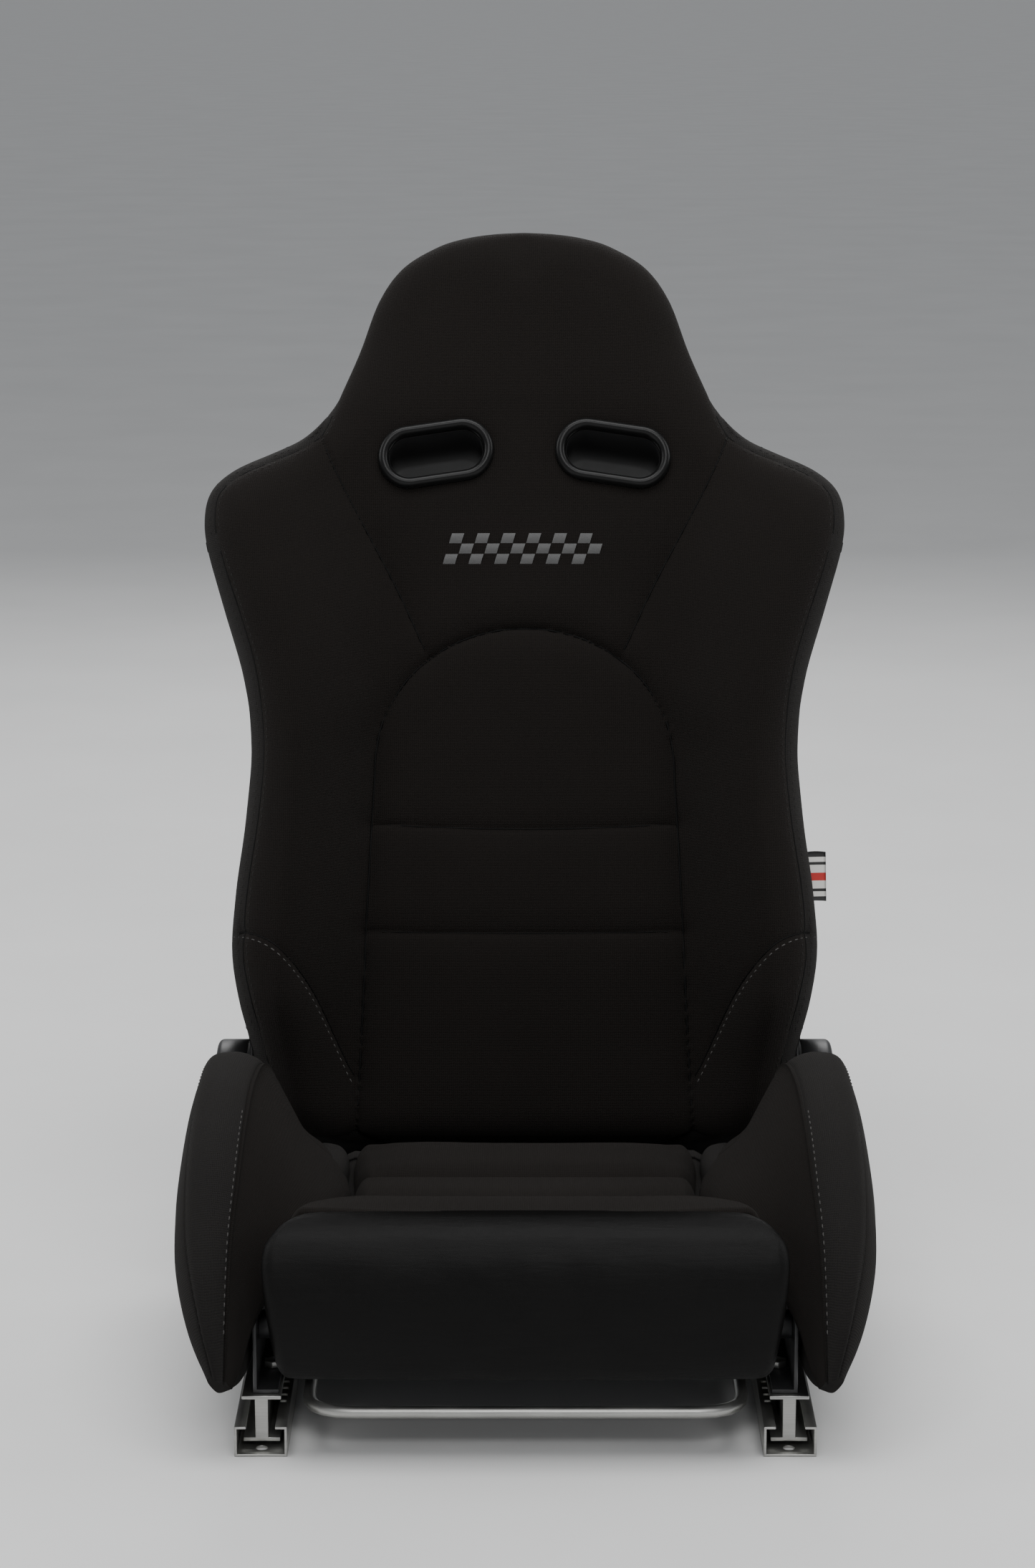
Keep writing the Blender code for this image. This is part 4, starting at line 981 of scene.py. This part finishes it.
def build_side_tag():
    """Folded woven tag in the outer seam, slightly curled."""
    low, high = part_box("side_tag")
    cloth = woven_tag("woven_tag", low.z, high.z)
    rows, cols, thick, tucked = 15, 9, 0.0011, 0.006
    t, u = np.meshgrid(np.linspace(0, 1, rows), np.linspace(0, 1, cols), indexing="ij")
    x = low.x - tucked + (high.x - low.x + tucked) * u
    y = low.y + (high.y - low.y) * t + 0.0022 * np.sin(2.2 * u)
    z = low.z + (high.z - low.z) * t + 0.0006 * np.sin(3.0 * u)
    front, back = (stacked(x, y + sign * thick / 2 * (1 - u**6), z) for sign in (1, -1))
    loop = np.concatenate([front, back[:, ::-1]], axis=1)
    around = 2 * cols
    faces = grid_faces(rows, around, closed=True)
    faces += [tuple(range(around)), tuple(range((rows - 1) * around, rows * around))[::-1]]
    tag = new_object("woven_side_tag", loop.reshape(-1, 3), faces, cloth)
    dress(tag, "backrest", "side_tag")


# ---------------------------------------------------------------- seat bolsters
GUIDES = {                   # guide lines of the left bolster, each from rear to front
    "inner_foot": mm(
        (158, 122, 108), (149, 60, 118), (145, -20, 128), (149, -85, 135), (165, -135, 134),
        (186, -172, 124), (204, -203, 100), (213, -224, 74), (220, -236, 60),
    ),
    "inner_lip": mm(
        (166, 124, 136), (154, 60, 146), (147, -20, 157), (151, -85, 162), (168, -135, 157),
        (189, -172, 141), (206, -203, 112), (213.5, -224, 78), (220, -236, 60.5),
    ),
    "inner_waist": mm(
        (181, 126, 149), (180, 68, 168), (178, -8, 189), (181, -75, 190), (190, -125, 179),
        (201, -165, 159), (211, -199, 128), (216.5, -224, 88), (221, -238, 62),
    ),
    "inner_edge": None,      # laid between its neighbours, close under the seam, so that the edge is crisp
    "inner_seam": mm(
        (192, 122, 163), (202, 84, 203), (210, 26, 240), (215, -45, 244.5), (217.5, -105, 228),
        (219.5, -155, 201), (222.5, -198, 162), (223.5, -228, 113), (224.5, -241, 68),
    ),
    "crown": mm(
        (219, 122, 170), (230, 84, 211), (235.5, 24, 248), (240, -46, 249), (242, -107, 232),
        (243, -158, 205), (243, -203, 164), (240, -235, 113), (231, -244.5, 70),
    ),
    "outer_seam": mm(
        (240, 118, 160), (252, 78, 198), (257, 16, 236), (259.5, -50, 238), (260.5, -108, 222),
        (260.5, -158, 195), (257, -200, 158), (247, -228, 116), (235, -241.5, 72),
    ),
    "outer_side": mm(
        (246, 114, 120), (261, 68, 140), (265.5, 5, 160), (266.5, -55, 165), (267, -108, 160),
        (266.5, -150, 150), (264, -186, 128), (254, -216, 98), (238, -236, 66),
    ),
    "outer_foot": mm(
        (244, 112, 80), (250, 62, 70), (249, 0, 61), (246, -60, 58), (243, -110, 56), (240, -152, 55),
        (238, -186, 54), (235.5, -212, 54), (231, -232, 56),
    ),
    "under": mm(
        (211.5, 112, 82), (210.5, 62, 72), (210, 0, 64), (210, -60, 62), (210, -110, 60),
        (210.5, -152, 59), (212, -186, 57), (216.5, -212, 56), (223, -230, 57),
    ),
    "slot": mm(                # over the side plate, out of sight
        (210, 116, 106), (209.5, 62, 107), (209.5, 0, 107), (209.5, -60, 107), (209.5, -110, 106),
        (210, -152, 103), (211, -188, 88), (214.5, -214, 70), (219.5, -233, 60),
    ),
}
INNER, OUTER, FOOT = (list(GUIDES).index(name) for name in ("inner_seam", "outer_seam", "outer_foot"))
BOLSTER_ROWS, BOLSTER_COLUMNS = 80, 88
BOLSTER_CORNER = 0.16        # where a short seam crosses the inner face, as a share of the length
BOLSTER_LENGTH = 0.45        # of the cloth, about
BOLSTER_INNER_SWELL, BOLSTER_SWELL = 0.005, 0.0022


def bolster_skin(side):
    """Skin of one bolster through its guide lines, length along its rows and girth.

    The loop starts and ends in the hidden slot.  The columns are numbered by guide line.
    """
    shapes = dict(GUIDES)
    shapes["inner_edge"] = shapes["inner_seam"] + 0.16 * (shapes["inner_waist"] - shapes["inner_seam"])
    guides = np.array([curve_through(shapes[name], BOLSTER_ROWS) for name in GUIDES])
    guides = guides * np.array([side, 1.0, 1.0]) + np.array([0.0, RAIL_MID_Y, 0.0])
    grid = np.array([curve_through(row, BOLSTER_COLUMNS, True) for row in np.moveaxis(guides, 1, 0)])
    steps = np.linalg.norm(np.diff(grid, axis=0), axis=2).mean(axis=1)
    girth = np.linalg.norm(np.diff(grid, axis=1), axis=2).sum(axis=1).mean()
    number = np.arange(BOLSTER_COLUMNS) / BOLSTER_COLUMNS * len(GUIDES)
    if side > 0:
        grid, number = grid[:, ::-1], number[::-1]
    return grid, number, np.concatenate([[0.0], np.cumsum(steps)]), girth


def build_bolster(side, word):
    grid, number, length, girth = bolster_skin(side)
    pins = (number > FOOT - 0.3) | (number < 0.35)
    for seam in (INNER, OUTER):
        pins |= np.abs(number - seam) < 0.10
    pinned = np.tile(pins, (BOLSTER_ROWS, 1))
    pinned[:2] = True
    pinned[-3:] = True
    cap = np.where(number < INNER, BOLSTER_INNER_SWELL, BOLSTER_SWELL)
    grid = puff("bolster_cloth", grid, pinned, 3.0, cap, closed=True)
    grid = finer(finer(grid, 0), 1, closed=True)
    number = np.interp(np.arange(2 * BOLSTER_COLUMNS) / 2, np.arange(BOLSTER_COLUMNS), number)
    pitch = number.max() / len(GUIDES) * girth / len(GUIDES)       # cloth from one guide line to the next
    depth = np.zeros(grid.shape[:2])
    for seam, deep in ((INNER, 0.0022), (OUTER, 0.0018)):
        depth += groove(np.abs(number - seam) * pitch, deep, 0.0024, 0.6 * deep, 0.011)
    from_corner = np.abs(np.linspace(0, 1, len(grid)) - BOLSTER_CORNER)[:, None] * BOLSTER_LENGTH
    depth += (number < INNER) * groove(from_corner, 0.0020, 0.0026)
    grid = pressed_in(grid, depth, closed=True)
    sewing = stacked(number / len(GUIDES) * girth, finer(length, 0)[:, None])
    for name, where, cloth, stands_for in (
        ("bolster_inner_", number < INNER, FABRIC, None),
        ("bolster_crown_", (number >= INNER) & (number < OUTER), FABRIC_SIDE, "seat_bolster_" + word),
        ("bolster_outer_", number >= OUTER, FABRIC_SIDE, None),
    ):
        keep = np.tile(where, (len(grid), 1))
        skin_piece(name + word, grid, sewing, cloth, "seat_base", stands_for, closed=True, keep=keep)
    for name, end in (("bolster_rear_cap_", 0), ("bolster_tip_cap_", -1)):
        middle, shares = grid[end].mean(axis=0), (1.0, 0.88, 0.5, 0.0)
        closing_piece(name + word, grid, sewing, end, middle, shares, "seat_base", closed=True)
    normals = grid_normals(grid, closed=True)
    last = len(grid) - 1
    for name, seam, start, end, offset, thread in (
        ("bolster_inner_stitch_", INNER, 0.46, 0.93, 0.0045, GREY_THREAD),
        ("bolster_outer_stitch_", OUTER, 0.04, 0.95, -0.0045, BLACK_THREAD),
    ):
        rows = np.arange(int(start * last), int(end * last))
        column = int(np.argmin(np.abs(number - (seam + offset / pitch))))
        stitches(name + word, (evened(grid[rows, column], 6), normals[rows, column]), thread, "seat_base")


# ---------------------------------------------------------------- seat cushion
CUSHION_REAR, CUSHION_FRONT = 0.146, -0.206
CUSHION_HALF = mm(           # (y, half width)
    (-230, 181), (-205, 180), (-175, 174), (-145, 160), (-120, 143), (-95, 136.5), (-20, 136.5),
    (122, 142.5), (150, 142),
)
CUSHION_SLOPE = tan(radians(8.4))
CUSHION_SWELL = 0.011
CUSHION_LEVEL_Y, CUSHION_LEVEL_Z = 0.128, 0.139      # a point on the seat's surface line
CHANNEL_HALF = 0.137         # half width at which the sewn channels' bows are given


def cushion_line(y):
    return CUSHION_LEVEL_Z + (CUSHION_LEVEL_Y - y) * CUSHION_SLOPE


def rear_channel(x):
    return -0.020 + 0.004 * (x / CHANNEL_HALF) ** 4


def front_channel(x):
    """Where the front band starts: bowed forward in the middle."""
    return -0.126 + 0.021 * (x / CHANNEL_HALF) ** 2


def cushion_skin():
    """Skin of the seat's insert, which rolls down into the gaps around it, and its sewing coordinates."""
    rear_radius, rear_drop = 0.020, 0.036
    edge_radius, edge_fall = 0.013, 0.030
    stations = []                # (y, how far below the seat's surface line)
    for a in np.linspace(0, pi / 2, 8):
        stations.append((CUSHION_REAR - rear_radius * (1 - cos(a)), -rear_drop * (1 - sin(a))))
    stations += [(y, 0.0) for y in np.linspace(CUSHION_REAR - rear_radius, CUSHION_FRONT, 80)[1:]]
    stations += [(CUSHION_FRONT - 0.004, -0.004), (CUSHION_FRONT - 0.006, -0.014)]
    turn = np.linspace(0, pi / 2, 8)[1:]
    across = np.concatenate([np.ones(7), np.linspace(1, -1, 73), -np.ones(7)])
    turn = np.concatenate([turn[::-1], np.zeros(73), turn])
    drop = edge_fall * (1 - np.cos(turn))
    grid, sewing = [], []
    for y, sink in stations:
        half = float(smooth_value(CUSHION_HALF, y))
        x = across * (half - edge_radius) + np.sign(across) * edge_radius * np.sin(turn)
        bow = 0.013 * (x / 0.166) ** 2 * float(ease((-0.120 - y) / 0.080))
        grid.append(stacked(x, y + bow + RAIL_MID_Y, cushion_line(y) + sink - drop))
        sewing.append(stacked(x + np.sign(across) * drop, sink - y))
    return np.array(grid), np.array(sewing)


def build_cushion():
    """Insert of the seat: three puffed bands with a sewn channel between each two."""
    grid, sewing = cushion_skin()
    flat = grid[:, :, :2] - np.array([0.0, RAIL_MID_Y])
    xs = np.linspace(-0.2, 0.2, 41)
    channels = [stacked(xs, rear_channel(xs)), stacked(xs, front_channel(xs))]
    pinned = np.zeros(grid.shape[:2], bool)
    pinned[[0, 1, -1, -2]] = True
    pinned[:, [0, 1, -2, -1]] = True
    for line in channels:
        pinned |= seam_distance(flat, line) < SEAM_PIN
    grid = puff("cushion_cloth", grid, pinned, 5.0, CUSHION_SWELL)
    grid, sewing, flat = finer_both(grid, sewing, flat)
    depth = np.zeros(grid.shape[:2])
    for line in channels:
        depth += groove(seam_distance(flat, line), 0.0055, 0.0040, 0.0050, 0.018)
    grid = pressed_in(grid, depth)
    x, y = np.moveaxis((flat[:-1, :-1] + flat[1:, 1:]) / 2, 2, 0)
    behind, ahead = y > rear_channel(x), y < front_channel(x)
    for name, where, stands_for in (
        ("seat_band_rear", behind, None),
        ("seat_band_middle", ~behind & ~ahead, "cushion_foam"),
        ("seat_band_front", ahead, None),
    ):
        skin_piece(name, grid, sewing, FABRIC, "seat_base", stands_for, keep=where)


def build_corner_pad(side, word):
    """Small stuffed corner between cushion, bolster and backrest, with a three-armed seam on top."""
    rows, columns = 44, 64
    centre_x, reach_x, reach_z = 0.1675, 0.0225, 0.024
    rear_y, front_y = 0.150, 0.005
    turns = np.linspace(0, 2 * pi, columns, endpoint=False)
    round_x, round_z = (np.sign(wave) * np.abs(wave) ** 0.75 for wave in (np.cos(turns), np.sin(turns)))
    t = -1 + 2 * (np.arange(rows)[:, None] + 0.5) / rows
    y = (rear_y + front_y) / 2 - t * (rear_y - front_y) / 2
    full = (1 - np.abs(t) ** 3.2) ** (1 / 2.2)
    top = cushion_line(y) + 0.0045 - 0.003 * ease((y - 0.105) / 0.045)
    x = centre_x + reach_x * full * round_x
    z = top - reach_z + reach_z * full * round_z
    grids = (stacked(x, y + RAIL_MID_Y, z), stacked(x + (z - 0.12), y + RAIL_MID_Y), stacked(x, y))
    grid, sewing, flat = (finer(finer(a, 0), 1, closed=True) for a in grids)
    joint = (0.1665, 0.108)
    depth = np.zeros(grid.shape[:2])
    for end in ((0.143, 0.128), (0.191, 0.132), (0.164, 0.010)):
        depth += groove(seam_distance(flat, np.array([joint, end])), 0.0022, 0.0026)
    grid, sewing = close_ends(pressed_in(grid, depth, closed=True), sewing)
    if side < 0:
        grid, sewing = grid[:, ::-1] * MIRROR_X, sewing[:, ::-1]
    skin_piece("seat_corner_pad_" + word, grid, sewing, FABRIC_SIDE, "seat_base", closed=True)


def build_seat_pan():
    """Dark trim cloth under the cushion, pulled back and down clear of the sweep of the backrest."""
    line = curve_through(mm(
        (-150, 135), (100, 124), (132, 128), (145.5, 128.5), (151.5, 120), (156.5, 102), (172, 78.5),
        (200, 72), (232, 72), (262, 74),
    ), 60)
    across = np.linspace(-1, 1, 60)
    sag = 0.004 * np.cos(across * pi / 2) + 0.0006 * np.sin(across * 24)
    x, y = across * 0.1865, line[:, :1]
    low = 0.016 * ease((np.abs(x) - 0.145) / 0.012) * ease((y - 0.090) / 0.030)
    top = stacked(x, y + RAIL_MID_Y, line[:, 1:] - sag - low)
    under = top - np.array([0.0, 0.0, 0.003])
    grid = np.concatenate([top, under[:, ::-1]], axis=1)
    skin_piece("seat_pan_cloth", grid, grid[:, :, :2], FABRIC_SIDE, "seat_base", closed=True)


# ---------------------------------------------------------------- front roll
ROLL_PROFILE = mm(           # (y, z, half width) from under the cloth band, over the top and down the front
    (-176, 170, 158), (-186, 180, 163), (-198, 186.2, 169), (-208, 187.2, 177.5), (-216, 185, 185),
    (-224, 180.5, 190.5), (-231.5, 174, 195), (-239, 162.5, 196.8), (-243.5, 148, 196.5),
    (-245, 130, 195), (-244, 110, 192.5), (-241, 90, 189.5), (-236, 74, 187), (-228, 66, 185),
    (-214, 64, 183.5),
)
ROLL_CORNER = 0.010          # radius of the edge round its square ends
ROLL_SWELL, CREASE_RISE = 0.003, 0.00045
ROLL_CORE = np.array([-0.2060, 0.110])               # (y, z) that the ends are drawn in towards


def build_front_roll():
    """Stuffed roll of smooth leatherette with square ends and a few shallow drag creases."""
    profile = curve_through(ROLL_PROFILE, 64)
    half = profile[:, 2:]
    inward = inward_of(unit(np.gradient(profile[:, :2], axis=0)))
    core = ROLL_CORE - profile[:, :2]
    turn = np.linspace(0, pi / 2, 9)[1:]
    share = np.linspace(0, 1, 9)[1:]
    end_out = np.concatenate([ROLL_CORNER * np.sin(turn), ROLL_CORNER - 0.001 * share])
    end_in = ROLL_CORNER * np.concatenate([1 - np.cos(turn), 1 - share])
    end_core = 0.86 * np.concatenate([0 * turn, share])
    span = np.linspace(1, -1, 80)
    belly = 0.0018 * np.sqrt(np.clip(np.cos(span * pi / 2), 0, 1))
    across = np.concatenate([np.ones(16), span, -np.ones(16)])
    out = np.concatenate([end_out[::-1], 0 * span, -end_out])
    sunk = np.concatenate([end_in[::-1], -belly, end_in])
    to_core = np.concatenate([end_core[::-1], 0 * span, end_core])
    x = across * (half - ROLL_CORNER) + out
    y, z = (profile[:, k:k + 1] + inward[:, k:k + 1] * sunk + core[:, k:k + 1] * to_core for k in (0, 1))
    grid = stacked(x, y + RAIL_MID_Y, z)
    creases = np.sin(x * 61 + 3.1 * np.sin(x * 17)) * np.sin(z * 95 + x * 21)
    creases = creases * ease((0.187 - z) / 0.02) * (np.abs(x) < 0.186)
    pinned = np.zeros(grid.shape[:2], bool)
    pinned[[0, 1, -2, -1]] = True
    pinned[:, :14] = True
    pinned[:, -14:] = True
    grid = puff("roll_cloth", grid, pinned, 2.0, ROLL_SWELL)
    grid = finer_both(pressed_in(grid, -CREASE_RISE * creases))[0]
    uv = stacked(grid[:, :, 0], grid[:, :, 2] - grid[:, :, 1])
    skin_piece("thigh_roll", grid, uv, VINYL, "seat_base", "front_roll")


# ---------------------------------------------------------------- hard parts
def rounded_prism(name, outline, x_face, x_open, fillet, hollow=0.0):
    """Moulded cap, solid or thin-walled: an anticlockwise (y, z) outline swept along X, its rim rounded."""
    outline = np.array(outline)
    centre = outline.mean(axis=0)
    inward = inward_of(unit(np.roll(outline, -1, 0) - np.roll(outline, 1, 0)))
    sign = 1 if x_face > x_open else -1
    flat = outline + inward * fillet - centre
    loops = [(x_face, centre + flat * share) for share in (0.0, 0.2, 0.5, 0.8)]
    for a in np.linspace(0, pi / 2, 7):
        loops.append((x_face - sign * fillet * (1 - cos(a)), outline + inward * fillet * (1 - sin(a))))
    loops.append((x_open, outline))
    if hollow:
        loops += [(x_open, outline + inward * hollow), (x_face - sign * hollow, outline + inward * hollow)]
    loops = [[(x, y, z) for y, z in points] for x, points in loops]
    return solid_of_loops(name, loops, BLACK_PLASTIC, closed=False)


def build_recliner_covers():
    """Hollow caps over the recliners: round on top, with sides that draw in a little to a straight foot."""
    draw_in = 0.004
    for side, word in SIDES:
        low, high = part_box("recliner_cover_" + word)
        radius, middle = (high.y - low.y) / 2, (high.y + low.y) / 2
        top = high.z - radius
        outline = [(middle + radius * cos(a), top + radius * sin(a)) for a in np.linspace(0, pi, 49)]
        down = np.linspace(0.1, 1.0, 8)
        outline += [(low.y + draw_in * t**2, top + (low.z - top) * t) for t in down]
        foot = 2 * (radius - draw_in)
        outline += [(low.y + draw_in + foot * t, low.z) for t in np.linspace(0.06, 0.94, 9)]
        outline += [(high.y - draw_in * t**2, top + (low.z - top) * t) for t in down[::-1]]
        x_face, x_open = (high.x, low.x) if side > 0 else (low.x, high.x)
        cover = rounded_prism("hinge_cover_" + word, outline, x_face, x_open, 0.0052, hollow=0.0022)
        dress(cover, "seat_base", "recliner_cover_" + word)


def build_lever_grip():
    low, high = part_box("lever_grip")
    start = np.array([high.y - 0.012, low.z + 0.012])
    end = np.array([low.y + 0.0115, high.z - 0.0115])
    along = unit(end - start)
    across = np.array([-along[1], along[0]])
    outline = []
    for centre, begin, radius in ((end, -0.5, 0.0112), (start, 0.5, 0.0090)):
        for a in pi * np.linspace(begin, begin + 1, 13):
            outline.append(centre + along * cos(a) * radius + across * sin(a) * radius)
    grip = rounded_prism("recline_grip", outline, high.x, low.x, 0.0036)
    dress(grip, "recline_release", "lever_grip")


def dress_cad_nodes():
    """Finish the CAD pieces that stay in sight: welded, with soft edges and a real surface."""
    finishes = {
        "zinc_steel": ZINC, "spring_steel": SPRING, "black_steel": COATED, "webbing": STRAP,
        "black_plastic": BLACK_PLASTIC, "foam": FABRIC_SIDE, "fabric": FABRIC_SIDE,
        "leatherette": VINYL, "tag_cloth": STRAP,
    }
    slots = {part["node"]: part["material_slot"] for part in frame["record"]["subparts"]}
    for name, node in frame["nodes"].items():
        if node.hide_render:
            continue
        node.data.materials.clear()
        node.data.materials.append(finishes[slots[name]])
        node.data.polygons.foreach_set("use_smooth", [True] * len(node.data.polygons))
        node.modifiers.new("weld", "WELD").merge_threshold = 0.00002
        if not any(word in name for word in ("spring", "cage", "frame", "bar_pivot", "slide_bar", "shaft")):
            bevel = node.modifiers.new("bevel", "BEVEL")
            bevel.width = 0.0006
            bevel.segments = 2
            bevel.limit_method = "ANGLE"
            bevel.angle_limit = radians(40)
            bevel.harden_normals = False
        node.modifiers.new("edges", "EDGE_SPLIT").split_angle = radians(38)


# ---------------------------------------------------------------- stage
def build_stage():
    """Pale round floor, fine in the middle and reaching the horizon."""
    turns = np.linspace(0, 2 * pi, 64, endpoint=False)
    rings = [[(radius * cos(a), radius * sin(a), 0.0) for a in turns] for radius in (500.0, 12.0, 2.0)]
    verts = sum(rings, []) + [(0.0, 0.0, 0.0)]
    faces = grid_faces(3, 64, closed=True)
    faces += [(len(verts) - 1, 128 + k, 128 + (k + 1) % 64) for k in range(64)]
    new_object("studio_floor", verts, faces, pale_floor("pale_floor"))


def area_light(name, location, target, size, power):
    data = bpy.data.lights.new(name, "AREA")
    data.shape = "RECTANGLE"
    data.size, data.size_y = size
    data.energy = power
    light = bpy.data.objects.new(name, data)
    bpy.context.scene.collection.objects.link(light)
    light.location = location
    light.rotation_euler = (Vector(target) - Vector(location)).to_track_quat("-Z", "Y").to_euler()


def build_lights():
    """Soft studio light from above, in front, behind and both sides, and a pale sky."""
    aim = (0, 0, 0.45)
    area_light("overhead_light", (0.0, -0.7, 3.0), (0, 0.0, 0.35), (2.4, 1.4), 62)
    area_light("front_light", (0.2, -3.2, 2.4), aim, (2.0, 1.2), 44)
    area_light("left_light", (-2.5, 0.1, 1.7), aim, (1.0, 1.8), 20)
    area_light("right_light", (2.5, 0.1, 1.7), aim, (1.0, 1.8), 20)
    area_light("rear_light", (0.0, 3.0, 2.2), aim, (2.4, 1.2), 46)
    world = bpy.data.worlds.new("studio")
    world.use_nodes = True
    colour, strength = world.node_tree.nodes["Background"].inputs[:2]
    colour.default_value = (0.90, 0.92, 0.95, 1.0)
    strength.default_value = 0.40
    bpy.context.scene.world = world


def build_camera():
    """The photo's viewing angle: just off the middle plane and 12 degrees above the level."""
    elevation, distance = radians(12.0), 3.3
    target = Vector((-0.006, RAIL_MID_Y + 0.250, 0.420))
    back = Vector((0.0, -cos(elevation), sin(elevation)))
    data = bpy.data.cameras.new("camera")
    data.sensor_width = 36.0
    data.lens = 88.956           # millimetres
    camera = bpy.data.objects.new("camera", data)
    bpy.context.scene.collection.objects.link(camera)
    camera.location = target + back * distance
    camera.rotation_euler = (-back).to_track_quat("-Z", "Y").to_euler()
    bpy.context.scene.camera = camera


# ---------------------------------------------------------------- build
back_cover, back_lines = build_back()
back_stitching(back_cover, back_lines)
build_bezels()
build_motif(back_cover)
build_side_tag()
for side, word in SIDES:
    build_bolster(side, word)
build_cushion()
build_seat_pan()
for side, word in SIDES:
    build_corner_pad(side, word)
build_front_roll()
build_recliner_covers()
build_lever_grip()
dress_cad_nodes()
build_stage()
build_lights()
build_camera()
